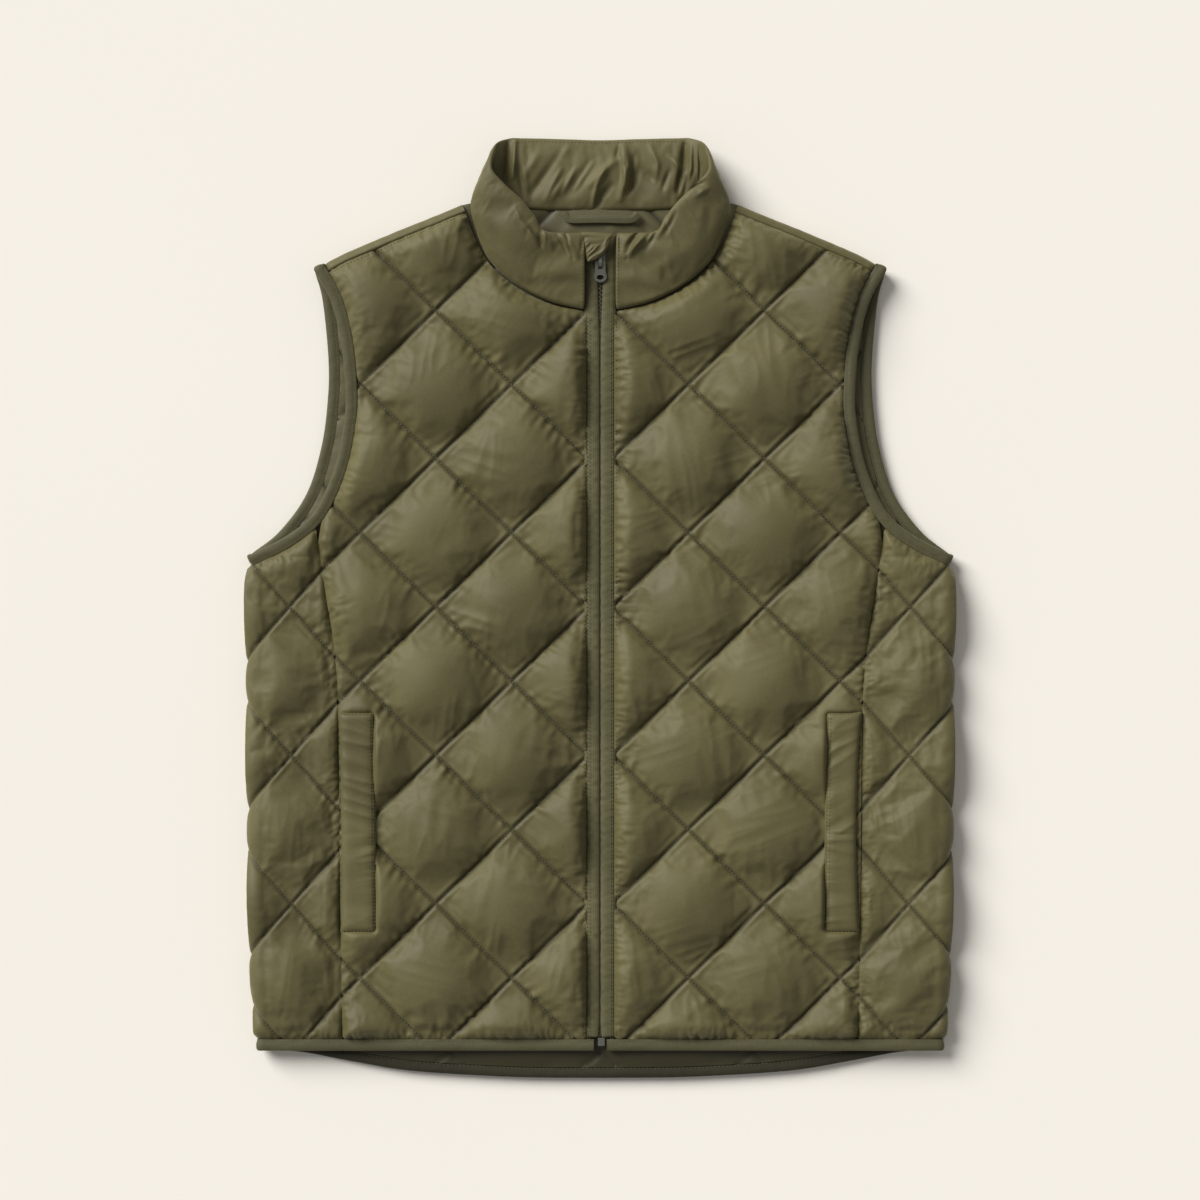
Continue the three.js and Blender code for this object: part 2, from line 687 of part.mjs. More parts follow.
// The slider: plates above and below the tapes, the post between them, and the bridge that holds the tab.
function sliderGeometry() {
  const half = SLIDER.width / 2;
  const outline = [
    new Vector2(-half * 0.86, -SLIDER.below),
    new Vector2(half * 0.86, -SLIDER.below),
    new Vector2(half, SLIDER.above * 0.4),
    new Vector2(half * 0.8, SLIDER.above),
    new Vector2(-half * 0.8, SLIDER.above),
    new Vector2(-half, SLIDER.above * 0.4),
  ].map((point) => new Vector2(point.x, point.y + HINGE.up));
  const tapeTop = TAPE_UNDER + TAPE_THICKNESS;
  const upperLow = tapeTop + GAP;
  const lowerHigh = TAPE_UNDER - GAP;
  const upper = prism(outline, upperLow, upperLow + SLIDER.plate);
  const lower = prism(outline, lowerHigh - 0.9, lowerHigh);
  const neckHalf = SLIDER.neck / 2;
  const neck = new THREE.BoxGeometry(2 * neckHalf, 5, upperLow - lowerHigh + 0.8);
  neck.translate(0, HINGE.up + SLIDER.above - 3.2, (upperLow + lowerHigh) / 2);
  const deck = upperLow + SLIDER.plate - HINGE.z;
  const arch = new THREE.Shape([
    new Vector2(-4.3, deck - 0.3),
    new Vector2(-4.3, 0.4),
    new Vector2(-3.2, 2.1),
    new Vector2(0, 2.8),
    new Vector2(5, 2.2),
    new Vector2(8.6, deck + 0.6),
    new Vector2(8.8, deck - 0.3),
  ]);
  arch.holes.push(new THREE.Path([
    new Vector2(-2.9, -1.1),
    new Vector2(2, -1.1),
    new Vector2(2, 0.4),
    new Vector2(1.2, 1.3),
    new Vector2(-1.8, 1.3),
    new Vector2(-2.9, 0.3),
  ]));
  const bridge = new THREE.ExtrudeGeometry(arch, { depth: SLIDER.bridge, bevelEnabled: false });
  bridge.rotateX(Math.PI / 2).rotateZ(Math.PI / 2);
  bridge.translate(-SLIDER.bridge / 2, HINGE.up, HINGE.z);
  return toGeometry([lower, neck, bridge].reduce((body, piece) => body.add(toSolid(piece)), toSolid(upper)));
}

// The pull tab: a bar in the bridge, a slot for the bridge, and a ring at the free end.
function tabGeometry() {
  const [top, ring] = [TAB.topWidth / 2, TAB.ringWidth / 2];
  const outline = new THREE.Shape();
  outline.moveTo(-top, TAB.bar);
  outline.lineTo(-top, -TAB.length * 0.45);
  outline.lineTo(-ring, -TAB.length * 0.7);
  outline.absellipse(0, -TAB.length * 0.7, ring, TAB.length * 0.3, Math.PI, 2 * Math.PI);
  outline.lineTo(top, -TAB.length * 0.45);
  outline.lineTo(top, TAB.bar);
  const slot = new THREE.Path([
    new Vector2(-1.7, -TAB.bar),
    new Vector2(-1.7, -5.4),
    new Vector2(1.7, -5.4),
    new Vector2(1.7, -TAB.bar),
  ]);
  const eye = new THREE.Path().absellipse(0, -TAB.length * 0.75, 2.9, 1.9, 0, 2 * Math.PI);
  outline.holes.push(slot, eye);
  const plate = new THREE.ExtrudeGeometry(outline, {
    depth: TAB.thickness,
    bevelEnabled: false,
    curveSegments: 8,
  });
  return plate.translate(0, 0, -TAB.thickness / 2);
}

// The flap of cloth that covers the slider, sewn along its left edge.
function garageGeometry() {
  const edge = smooth([
    { out: -11.2, up: 300.2 },
    { out: -11.4, up: 289 },
    { out: -10.2, up: 278.4 },
    { out: -6, up: 279.2 },
    { out: 0, up: 283 },
    { out: 6, up: 288 },
    { out: 10.4, up: 300.2 },
  ], 12);
  return paddedPlate(edge, 21.2, 23.4);
}

// A pocket welt lying on its bed beside the princess seam.
function weltGeometry() {
  const rows = 12;
  const outer = [];
  const inner = [];
  for (let j = 0; j <= rows; j += 1) {
    const up = THREE.MathUtils.lerp(WELT_BOTTOM, WELT_TOP, j / rows);
    const edge = princessAt(up) - 0.8;
    outer.push(new Vector2(edge, up));
    inner.push(new Vector2(edge - WELT_WIDTH, up));
  }
  const under = FRONT_UNDER + WELT_BED + GAP;
  return paddedPlate([...outer, ...inner.reverse()], under, under + WELT_THICKNESS);
}

// The hanger loop's tape on the back's inner face, its ends turned up to the neck seam.
function hangerGeometry() {
  const outline = [
    { out: -30, up: 313.6 },
    { out: -24, up: 309.4 },
    { out: 24, up: 309.4 },
    { out: 30, up: 313.6 },
    { out: 22, up: 315.4 },
    { out: 18, up: 314.6 },
    { out: -18, up: 314.6 },
    { out: -22, up: 315.4 },
  ].map((row) => new Vector2(row.out, row.up));
  return prism(outline, BACK_TOP + GAP, BACK_TOP + GAP + 1.6);
}

// The box at the foot of the zip.
function zipBoxGeometry() {
  const box = new THREE.BoxGeometry(5.4, 6.4, 3);
  return box.translate(0.8, -343.6 - 3.2, TAPE_UNDER + 1);
}

function mirrored(geometry) {
  const copy = geometry.clone().applyMatrix4(new THREE.Matrix4().makeScale(-1, 1, 1));
  const index = copy.index ? [...copy.index.array] : [...copy.attributes.position.array.keys()]
    .slice(0, copy.attributes.position.count);
  for (let i = 0; i < index.length; i += 3) [index[i + 1], index[i + 2]] = [index[i + 2], index[i + 1]];
  copy.setIndex(index);
  return copy;
}

const vest = new THREE.Group();

function add(name, geometry, material) {
  const mesh = new THREE.Mesh(geometry, material);
  mesh.name = name;
  vest.add(mesh);
  return mesh;
}

// Left and right are the wearer's. The tables give the left half, at positive X; the right mirrors it.
function addPair(name, geometry, material) {
  add(`${name}_left`, geometry, material);
  add(`${name}_right`, mirrored(geometry), material);
}

add('back', backGeometry(), FABRIC);
addPair('front', frontGeometry(), FABRIC);
addPair('side', sideGeometry(), FABRIC);
add('collar', collarGeometry(), FABRIC);
addPair('armhole_binding', armholeGeometry(), BINDING);
addPair('hem_binding', frontHemGeometry(), BINDING);
add('hem_binding_back', tailHemGeometry(), BINDING);
addPair('welt', weltGeometry(), FABRIC);
addPair('zip_tape', tapeGeometry(), TAPE);
add('zip_slider', sliderGeometry(), METAL);
add('zip_garage', garageGeometry(), FABRIC);
add('zip_box', zipBoxGeometry(), METAL);
add('hanger_loop', hangerGeometry(), BINDING);

const tab = add('pull_tab', tabGeometry(), METAL);
tab.position.set(0, HINGE.up, HINGE.z);
tab.rotation.x = TAB.droop;

export default vest;
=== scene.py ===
"""A diamond-quilted puffer vest laid flat on its back and zipped up, on a pale floor.

Sizes are in millimetres until make_mesh() turns them into metres. X runs across the vest to the wearer's
left, Y from hem to collar, and Z up from the floor.
"""
import math

import bmesh
import bpy
import numpy as np
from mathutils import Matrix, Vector
from mathutils.bvhtree import BVHTree


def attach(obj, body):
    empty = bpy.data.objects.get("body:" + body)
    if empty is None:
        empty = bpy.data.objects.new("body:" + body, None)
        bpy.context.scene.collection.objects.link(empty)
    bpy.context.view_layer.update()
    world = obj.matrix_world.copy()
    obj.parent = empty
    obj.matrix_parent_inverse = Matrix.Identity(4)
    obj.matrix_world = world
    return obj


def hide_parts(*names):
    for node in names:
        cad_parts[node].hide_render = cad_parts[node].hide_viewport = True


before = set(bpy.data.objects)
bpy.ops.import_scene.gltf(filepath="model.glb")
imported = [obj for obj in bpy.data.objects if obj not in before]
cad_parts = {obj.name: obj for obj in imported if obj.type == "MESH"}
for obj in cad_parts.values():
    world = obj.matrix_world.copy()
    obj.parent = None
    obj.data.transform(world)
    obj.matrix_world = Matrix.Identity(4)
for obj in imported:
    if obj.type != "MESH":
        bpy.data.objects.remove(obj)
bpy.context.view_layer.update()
METRES = 0.001

# The quilting's lattice.
HALF_WIDTH = 60.8
HALF_HEIGHT = 59.4
LATTICE_OUT = 10.0
LATTICE_UP = 238.8
SEAM_PITCH = 85.0
CELLS = 34
BACK_CELLS = 14
FLOOR_GAP = 0.15
SEAM_Z = 15.0
PILLOW_HEIGHT = 14.0
PILLOW_STRETCH = -0.02

# Bindings, zip, welts and the layers' heights.
BINDING_WIDTH = 9.3
BINDING_THICKNESS = 4.0
FRONT_BINDING_Z = 14.8
BACK_BINDING_Z = 6.0
HEM_EDGE = -354.0
HEM_SEAM = HEM_EDGE + BINDING_WIDTH
ZIP_SEAM = 11.2
TAPE_Z = 14.2
BACK_SEAM = 240.0
SIDE_RADIUS = 9.8
SIDE_CENTRE_Z = 10.4
SIDE_SPREAD = 1.17
UNDERARM_SEAM = 33.0
SHOULDER_ROLL = 7.0
WELT = {"width": 28.4, "top": -83.0, "bottom": -259.0, "bed": 16.8, "thickness": 5.0}
WELT_SHIFT = 0.6

# The back: its seams' hollows underneath, its turned-up edge, and its lining's height and relief.
BACK_HOLLOW = 2.6
BACK_EDGE_RISE = 4.6
BACK_SIDE_DROP = 3.2
LINING_Z = 8.2
LINING_PUFF = 3.0
LINING_LOW, LINING_HIGH = 3, 12.4

# How far each kind of wrinkle lifts the cloth.
HANG_LIFT = 0.78
CROSS_LIFT = 0.7
SEAM_GATHER = 1.5
EDGE_GATHER = 3.2

# Stitches as length, gap and thickness, and how far they stand above the cloth.
QUILT_STITCH = (1.7, 1.3, 0.62)
EDGE_STITCH = (2.2, 1.0, 0.5)
TOP_STITCH = (2.0, 1.1, 0.55)
ZIP_STITCH = (2.0, 1.1, 0.6)
TAPE_STITCH = (2.0, 1.1, 0.62)
WELT_STITCH = (1.9, 1.0, 0.6)
FLAP_STITCH = (1.5, 0.9, 0.5)
QUILT_LIFT = 0.15
TAPE_LIFT = 0.14
EDGE_LIFT = 0.12

# The wave texture's bands for a length of 2 pi at a scale of 1.
WAVE_RATE = 20

# Outlines of one half as (out from the centre line, up from the middle of the length).
SIDE_EDGE = [(280.8, 43), (282.8, 14), (282, -73), (281.2, -186), (279.4, -276), (275.4, -354)]
PRINCESS = [(227.2, 61), (220, 12), (213.6, -29), (209.6, -87), (207.8, -261), (206.4, -345)]
FRONT_ARMHOLE = [
    (229, 270.5), (216, 246.8), (207.6, 214), (204, 174), (205.4, 147.6),
    (213, 112), (228.8, 78), (250, 59), (280.6, 43),
]
BACK_ARMHOLE = [
    (229, 269.5), (223, 247), (218.4, 200), (219, 167), (224, 130), (236, 92), (257.6, 62), (280.6, 43.6),
]
SHOULDER = [(110.8, 324), (130.8, 315.6), (158.8, 304.4), (187.6, 292.4), (207.6, 283.6), (221, 276.4)]
NECK = [
    (107, 318), (102.8, 302.8), (92, 280.4), (78.4, 265.6), (59.6, 252.8), (37.6, 243.2), (ZIP_SEAM, 237.6),
]
BACK_NECK = [(0, 314), (58, 314.4), (86, 316.6)]
TAIL = [(270, HEM_EDGE), (238.8, -356.5), (198, -364), (150, -371.6), (70, -376.4), (0, -377.2)]

# The collar from the zip to the centre back: seam out, up, z, top out, up, z, and its thickness.
COLLAR = [
    (12, 238.8, 15.6, 12.6, 300, 21, 9),
    (37.6, 244.6, 16, 30, 299.5, 25, 12),
    (59, 254.4, 16.4, 45, 301, 29, 12),
    (77.4, 267.2, 17, 52, 312, 32, 12),
    (90.6, 282, 18, 63, 325, 34, 12),
    (99.5, 304, 19, 77, 338, 35, 9),
    (103, 321, 20, 86.5, 351, 33, 6),
    (98, 330, 12, 83.6, 369.6, 23, 5),
    (84, 325, 7, 73.6, 376.6, 12, 8),
    (58, 319.6, 6.4, 60, 377.6, 8, 12),
    (30, 318.6, 6.4, 30, 377, 7.4, 13),
    (0, 318.6, 6.4, 0, 376.2, 7, 13),
]

# The collar's main creases: plan points, half width and height, and what the heights are multiplied by.
COLLAR_CREASE_SCALE = 1.65
COLLAR_CREASES = [
    ((-31, 363), (-42, 349), (-55, 333), 3.6, -2.6),
    ((-25, 371), (-36, 355), (-46, 342), 3.0, 1.6),
    ((-29, 343), (-41, 326), 2.8, 1.5),
    ((-5, 360), (-22, 334), 4.2, -1.7),
    ((12, 359), (-8, 339), 2.8, 1.9),
    ((9, 339), (0, 330), (-3, 321), 2.6, -2.4),
    ((19, 371), (22.4, 354), (16, 328), 2.4, 2.6),
    ((30, 352), (24, 334), 3.0, -2.0),
    ((15.5, 371), (12.4, 360), 1.8, -1.4),
    ((56, 362), (67, 348), 2.4, 1.6),
    ((49, 339), (35, 350), 4.0, -1.5),
    ((-66, 352), (-61, 330), 2.6, -1.8),
    ((71, 346), (66, 328), 2.4, -1.8),
    ((-50, 364), (-60, 346), 3.4, 1.2),
    ((-61, 306), (-50, 290), 1.7, 1.5),
    ((-56, 303), (-47, 291), 1.5, -1.3),
    ((-67, 316), (-60, 301), 1.6, 1.0),
    ((-34, 299), (-22, 279), 1.9, -1.9),
    ((-30, 299), (-18, 281), 1.7, 1.2),
    ((-43, 299), (-38, 287), 2.0, 0.9),
    ((36, 297), (23, 281), 1.8, 2.1),
    ((30, 299), (20, 279), 1.7, -1.9),
    ((44, 300), (36, 286), 1.9, -1.3),
    ((54, 311), (46, 296), 1.7, 1.2),
    ((60, 314), (52, 299), 1.6, -1.1),
    ((83, 339), (72, 333), 2.0, -1.5),
    ((86, 334), (76, 327), 2.0, 1.2),
    ((-20, 262), (-46, 260), 5.0, -0.9),
    ((40, 268), (62, 280), 5.0, 0.8),
    ((-78, 284), (-88, 306), 4.5, -0.9),
    ((84, 300), (88, 322), 4.2, -0.8),
    ((-68, 376), (-68.6, 360), (-70, 345), 1.8, 1.9),
    ((-74, 374), (-75.5, 358), (-76, 343), 2.6, -3.4),
    ((68, 373), (66, 352), (62, 334), 2.4, -2.9),
    ((73, 371), (72.5, 352), (70, 338), 1.5, 1.3),
    ((79, 369), (80, 354), (79.4, 342), 1.3, -1.5),
    ((-31, 352), (-39, 338), (-44, 327), 1.8, 1.7),
    ((-20, 352), (-30, 333), 1.7, 1.5),
    ((-6, 357), (-14, 345), (-20, 336), 1.8, 1.7),
    ((4, 352), (-3, 338), (-6, 323), 1.6, 1.9),
    ((17, 370), (19, 352), (22, 334), 1.5, 1.9),
    ((27, 362), (25, 346), (22, 332), 2.0, -1.7),
    ((40, 371), (46, 356), (44, 342), 2.0, 1.3),
    ((55, 350), (50, 336), 1.7, -1.4),
    ((-33, 299), (-28, 291), (-23.6, 281), 1.4, 2.3),
    ((-28.6, 300), (-25, 292), 1.3, -1.9),
    ((-49, 297), (-46.6, 288), 1.6, -1.8),
    ((-45, 301), (-43, 292), 1.4, 1.4),
    ((34, 295), (27, 288), (19.6, 280), 1.4, 2.4),
    ((30, 300), (25, 294), (21, 288), 1.4, -2.2),
    ((47, 304), (41, 298), (38, 292), 1.4, 1.8),
    ((43, 303), (38, 296), 1.3, -1.8),
    ((54, 314), (51, 305), 1.5, -1.5),
    ((-14, 296), (-15.4, 284), 1.3, -0.9),
    ((15.6, 298), (16, 284), 1.3, -0.8),
]
LINING_CREASES = [
    ((34, 316), (44, 308), (52, 304), 3.0, 1.6),
    ((30, 311), (41, 302), 2.6, -1.6),
    ((8, 307), (12, 301), 3.4, 1.2),
    ((-40, 316), (-52, 305), 4.0, -1.0),
    ((22, 309), (33, 300), 2.2, 1.0),
    ((-20, 308), (-30, 301), 3.0, 0.8),
]


def catmull(rows, per_span):
    """Points of a smooth curve through the rows, with any number of columns."""
    rows = np.asarray(rows, float)
    padded = np.vstack([2 * rows[0] - rows[1], rows, 2 * rows[-1] - rows[-2]])
    out = []
    for k in range(len(rows) - 1):
        a, b, c, d = padded[k:k + 4]
        t = np.linspace(0, 1, per_span, endpoint=False)[:, None]
        bend = (2 * a - 5 * b + 4 * c - d) * t**2
        out.append(0.5 * (2 * b + (c - a) * t + bend + (3 * b - a - 3 * c + d) * t**3))
    out.append(rows[-1:])
    return np.vstack(out)


def spaced(points, pitch):
    """A polyline's points at an even spacing."""
    points = np.asarray(points, float)
    steps = np.linalg.norm(np.diff(points, axis=0), axis=1)
    at = np.concatenate([[0], np.cumsum(steps)])
    count = max(int(round(at[-1] / pitch)), 1)
    where = np.linspace(0, at[-1], count + 1)
    return np.stack([np.interp(where, at, points[:, k]) for k in range(points.shape[1])], axis=1)


def curve(rows, pitch=3.0):
    return spaced(catmull(rows, 24), pitch)


def at_height(plan, height):
    """Plan points at one height."""
    return np.column_stack([plan, np.full(len(plan), height)])


def sideways(points, distance):
    """A plan curve moved to the left of its direction."""
    along = np.gradient(points[:, :2], axis=0)
    along /= np.linalg.norm(along, axis=1)[:, None]
    moved = points.copy()
    moved[:, 0] -= along[:, 1] * distance
    moved[:, 1] += along[:, 0] * distance
    return moved


def read(points, from_column, to_column, value):
    """One coordinate of a curve where the other has a value."""
    order = np.argsort(points[:, from_column])
    return np.interp(value, points[order, from_column], points[order, to_column])


def inside(points, outline):
    """Which plan points lie in a closed outline."""
    x, y = points[:, 0], points[:, 1]
    found = np.zeros(len(points), bool)
    for (x0, y0), (x1, y1) in zip(outline, np.roll(outline, -1, axis=0)):
        crosses = (y0 > y) != (y1 > y)
        if crosses.any():
            found[crosses] ^= x[crosses] < (x1 - x0) * (y[crosses] - y0) / (y1 - y0) + x0
    return found


def nearest_on(points, outline):
    """A closed outline's nearest point to each plan point, how far it is, and its place along the outline."""
    best = np.full(len(points), np.inf)
    place = np.zeros((len(points), 2))
    arc = np.zeros(len(points))
    start = 0.0
    for a, b in zip(outline, np.roll(outline, -1, axis=0)):
        along = b - a
        length = np.linalg.norm(along)
        share = np.clip(((points - a) @ along) / max(length**2, 1e-9), 0, 1)
        spot = a + share[:, None] * along
        far = np.linalg.norm(points - spot, axis=1)
        closer = far < best
        best[closer] = far[closer]
        place[closer] = spot[closer]
        arc[closer] = start + share[closer] * length
        start += length
    return place, best, arc


def smoothstep(value, low, high):
    t = np.clip((value - low) / (high - low), 0, 1)
    return t * t * (3 - 2 * t)


def lattice(out, up):
    """The two seam coordinates of a point: each is whole on a seam."""
    across = (out - LATTICE_OUT) / HALF_WIDTH
    down = (LATTICE_UP - up) / HALF_HEIGHT
    return (across + down) / 2, (across - down) / 2


def lattice_point(p, q):
    """The plan point at two seam coordinates."""
    return np.stack([LATTICE_OUT + HALF_WIDTH * (p + q), LATTICE_UP - HALF_HEIGHT * (p - q)], axis=-1)


def pillow(out, up):
    """A quilted cushion's share of its full height: 0 on the seams and 1 at its middle."""
    p, q = lattice(out, up)
    return (np.abs(np.sin(np.pi * p)) * np.abs(np.sin(np.pi * q))) ** 0.7


def seam_distance(out, up):
    p, q = lattice(out, up)
    reach = math.hypot(HALF_WIDTH, HALF_HEIGHT)
    return np.minimum(np.abs(p - np.round(p)), np.abs(q - np.round(q))) * reach


def waves(x, y, seed, size):
    """Smooth uneven waves of about a given size, between -1 and 1."""
    local = np.random.default_rng(seed)
    total = np.zeros_like(x)
    for _ in range(7):
        turn = local.uniform(0, math.pi)
        pitch = size * local.uniform(0.7, 1.6)
        phase = local.uniform(0, 2 * math.pi)
        total = total + np.sin((x * math.cos(turn) + y * math.sin(turn)) * 2 * math.pi / pitch + phase)
    return total / 4


def make_mesh(name, points, faces, material, smooth=True):
    mesh = bpy.data.meshes.new(name)
    mesh.from_pydata((np.asarray(points) * METRES).tolist(), [], [list(map(int, face)) for face in faces])
    mesh.validate()
    piece = bpy.data.objects.new(name, mesh)
    bpy.context.scene.collection.objects.link(piece)
    mesh.polygons.foreach_set("use_smooth", [smooth] * len(mesh.polygons))
    if material:
        mesh.materials.append(material)
    return piece


def points_of(mesh):
    flat = np.empty(len(mesh.vertices) * 3)
    mesh.vertices.foreach_get("co", flat)
    return flat.reshape(-1, 3) / METRES


def set_points(mesh, points):
    mesh.vertices.foreach_set("co", (points * METRES).ravel())
    mesh.update()


def normals_of(mesh):
    flat = np.empty(len(mesh.vertices) * 3)
    mesh.vertices.foreach_get("normal", flat)
    return flat.reshape(-1, 3)


def keep_cut(piece, plan):
    """Stores each point's place on the flat cut, so that it is known after the cloth has moved."""
    cut = piece.data.attributes.new("cut", "FLOAT_VECTOR", "POINT")
    cut.data.foreach_set("vector", at_height(plan, 0.0).ravel())


def cut_of(piece):
    flat = np.empty(len(piece.data.vertices) * 3)
    piece.data.attributes["cut"].data.foreach_get("vector", flat)
    return flat.reshape(-1, 3)[:, :2]


def sew_down(piece, depth=1.7, width=1.3):
    """Pulls the quilt seams down into the cushions, and stores painted shade along them for the material to
    darken the colour in the grooves.
    """
    cut = cut_of(piece)
    points = points_of(piece.data)
    near = seam_distance(cut[:, 0], cut[:, 1])
    sunk = depth * np.exp(-(near / width) ** 2)
    set_points(piece.data, points - normals_of(piece.data) * sunk[:, None])
    # Painted shade: 1 in the seam grooves, falling off within about a millimetre.
    shade = piece.data.attributes.new("seam_shade", "FLOAT", "POINT")
    shade.data.foreach_set("value", np.exp(-(near / 1.1) ** 2))


def crease(points, lines, chosen=None):
    """Raises or lowers the surface along each line: its plan points, half width and height."""
    lift = np.zeros(len(points))
    for *corners, width, height in lines:
        path = np.array(corners, float)
        best = np.full(len(points), np.inf)
        place = np.zeros(len(points))
        for k, (a, b) in enumerate(zip(path[:-1], path[1:])):
            along = b - a
            share = ((points[:, :2] - a) @ along) / (along @ along)
            held = np.clip(share, 0, 1)
            far = np.linalg.norm(points[:, :2] - (a + held[:, None] * along), axis=1)
            closer = far < best
            best[closer] = far[closer]
            place[closer] = (k + held[closer]) / (len(path) - 1)
        taper = np.sin(math.pi * (0.12 + 0.76 * place))
        lift += height * taper * np.exp(-(best / width) ** 2)
    if chosen is not None:
        lift = lift * chosen
    points[:, 2] += lift
    return points


def grid_faces(rows, columns, closed=False):
    """Quads of a grid of points, row by row; closed joins the last column to the first."""
    faces = []
    last = columns if closed else columns - 1
    for r in range(rows - 1):
        for c in range(last):
            d = (c + 1) % columns
            faces.append((r * columns + c, r * columns + d, (r + 1) * columns + d, (r + 1) * columns + c))
    return faces


def apply_modifiers(piece):
    """Puts the piece's modifiers into its mesh."""
    bpy.context.view_layer.update()
    graph = bpy.context.evaluated_depsgraph_get()
    made = bpy.data.meshes.new_from_object(piece.evaluated_get(graph), depsgraph=graph)
    piece.modifiers.clear()
    old = piece.data
    piece.data = made
    made.name = old.name
    bpy.data.meshes.remove(old)


def inflate(piece, pinned, stretch, pressure=4.0, frames=8, soft=()):
    """Swells a piece with Blender's cloth, held at its pinned points and part held at its soft ones."""
    group = piece.vertex_groups.new(name="pin")
    group.add([int(k) for k in pinned], 1.0, "REPLACE")
    for index, weight in soft:
        group.add([int(index)], float(weight), "REPLACE")
    cloth = piece.modifiers.new("swell", "CLOTH")
    settings = cloth.settings
    settings.quality = 4
    settings.mass = 0.05
    settings.vertex_group_mass = "pin"
    settings.tension_stiffness = 15
    settings.compression_stiffness = 15
    settings.shear_stiffness = 8
    settings.bending_stiffness = 0.02
    settings.shrink_min = stretch
    settings.use_pressure = True
    settings.uniform_pressure_force = pressure
    settings.effector_weights.gravity = 0
    cloth.collision_settings.use_collision = False
    cloth.point_cache.frame_end = frames
    for number in range(1, frames + 1):
        bpy.context.scene.frame_set(number)
    apply_modifiers(piece)
    bpy.context.scene.frame_set(1)


def subdivide(piece):
    modifier = piece.modifiers.new("fine", "SUBSURF")
    modifier.levels = 1
    modifier.render_levels = 1
    apply_modifiers(piece)
    piece.data.polygons.foreach_set("use_smooth", [True] * len(piece.data.polygons))


def new_material(name):
    material = bpy.data.materials.new(name)
    material.use_nodes = True
    nodes = material.node_tree.nodes
    return material, nodes, material.node_tree.links, nodes["Principled BSDF"]


def add_node(nodes, kind, **values):
    node = nodes.new(kind)
    for key, value in values.items():
        if key in node.inputs:
            node.inputs[key].default_value = value
        else:
            setattr(node, key, value)
    return node


def cloth_material(name, dark, light, roughness, sheen, thread, weave_depth, crinkle_depth):
    """Woven cloth: uneven colour, painted shade from a point attribute that darkens the colour, a plain weave
    and fine crinkles in the surface.
    """
    material, nodes, links, shader = new_material(name)
    place = add_node(nodes, "ShaderNodeTexCoord")
    broad = add_node(nodes, "ShaderNodeTexNoise", Scale=14.0, Detail=3.0)
    links.new(place.outputs["Object"], broad.inputs["Vector"])
    fine = add_node(nodes, "ShaderNodeTexNoise", Scale=420.0, Detail=2.0)
    links.new(place.outputs["Object"], fine.inputs["Vector"])
    blend = add_node(nodes, "ShaderNodeMath", operation="MULTIPLY_ADD")
    links.new(fine.outputs["Fac"], blend.inputs[0])
    blend.inputs[1].default_value = 0.35
    links.new(broad.outputs["Fac"], blend.inputs[2])
    ramp = add_node(nodes, "ShaderNodeValToRGB")
    ramp.color_ramp.elements[0].position = 0.45
    ramp.color_ramp.elements[0].color = (*dark, 1)
    ramp.color_ramp.elements[1].position = 0.85
    ramp.color_ramp.elements[1].color = (*light, 1)
    links.new(blend.outputs[0], ramp.inputs["Fac"])
    # Painted shade: the colour is mixed towards 0.4 of the dark colour where the piece's painted shade
    # attribute is high.
    seam = add_node(nodes, "ShaderNodeAttribute", attribute_name="seam_shade")
    painted_shade_mix = add_node(nodes, "ShaderNodeMix", data_type="RGBA")
    links.new(seam.outputs["Fac"], painted_shade_mix.inputs["Factor"])
    links.new(ramp.outputs["Color"], painted_shade_mix.inputs["A"])
    painted_shade_mix.inputs["B"].default_value = (*[c * 0.4 for c in dark], 1)
    links.new(painted_shade_mix.outputs["Result"], shader.inputs["Base Color"])
    rough = add_node(nodes, "ShaderNodeMapRange")
    rough.inputs["To Min"].default_value = roughness - 0.05
    rough.inputs["To Max"].default_value = roughness + 0.07
    links.new(broad.outputs["Fac"], rough.inputs["Value"])
    links.new(rough.outputs["Result"], shader.inputs["Roughness"])
    shader.inputs["Sheen Weight"].default_value = sheen
    shader.inputs["Sheen Roughness"].default_value = 0.4
    shader.inputs["Sheen Tint"].default_value = (0.75, 0.7, 0.46, 1)
    shader.inputs["Specular IOR Level"].default_value = 0.38
    crinkle = add_node(nodes, "ShaderNodeTexNoise", Scale=95.0, Detail=4.0, Roughness=0.55, Distortion=0.6)
    links.new(place.outputs["Object"], crinkle.inputs["Vector"])
    first = add_node(nodes, "ShaderNodeBump", Strength=1.0, Distance=crinkle_depth * METRES)
    links.new(crinkle.outputs["Fac"], first.inputs["Height"])
    threads = []
    for direction in ("X", "Y"):
        wave = add_node(nodes, "ShaderNodeTexWave", Scale=math.pi / (WAVE_RATE * thread * METRES))
        wave.bands_direction = direction
        links.new(place.outputs["Object"], wave.inputs["Vector"])
        threads.append(wave)
    weave = add_node(nodes, "ShaderNodeMath", operation="MULTIPLY")
    links.new(threads[0].outputs["Fac"], weave.inputs[0])
    links.new(threads[1].outputs["Fac"], weave.inputs[1])
    second = add_node(nodes, "ShaderNodeBump", Strength=1.0, Distance=weave_depth * METRES)
    links.new(weave.outputs[0], second.inputs["Height"])
    links.new(first.outputs["Normal"], second.inputs["Normal"])
    links.new(second.outputs["Normal"], shader.inputs["Normal"])
    return material


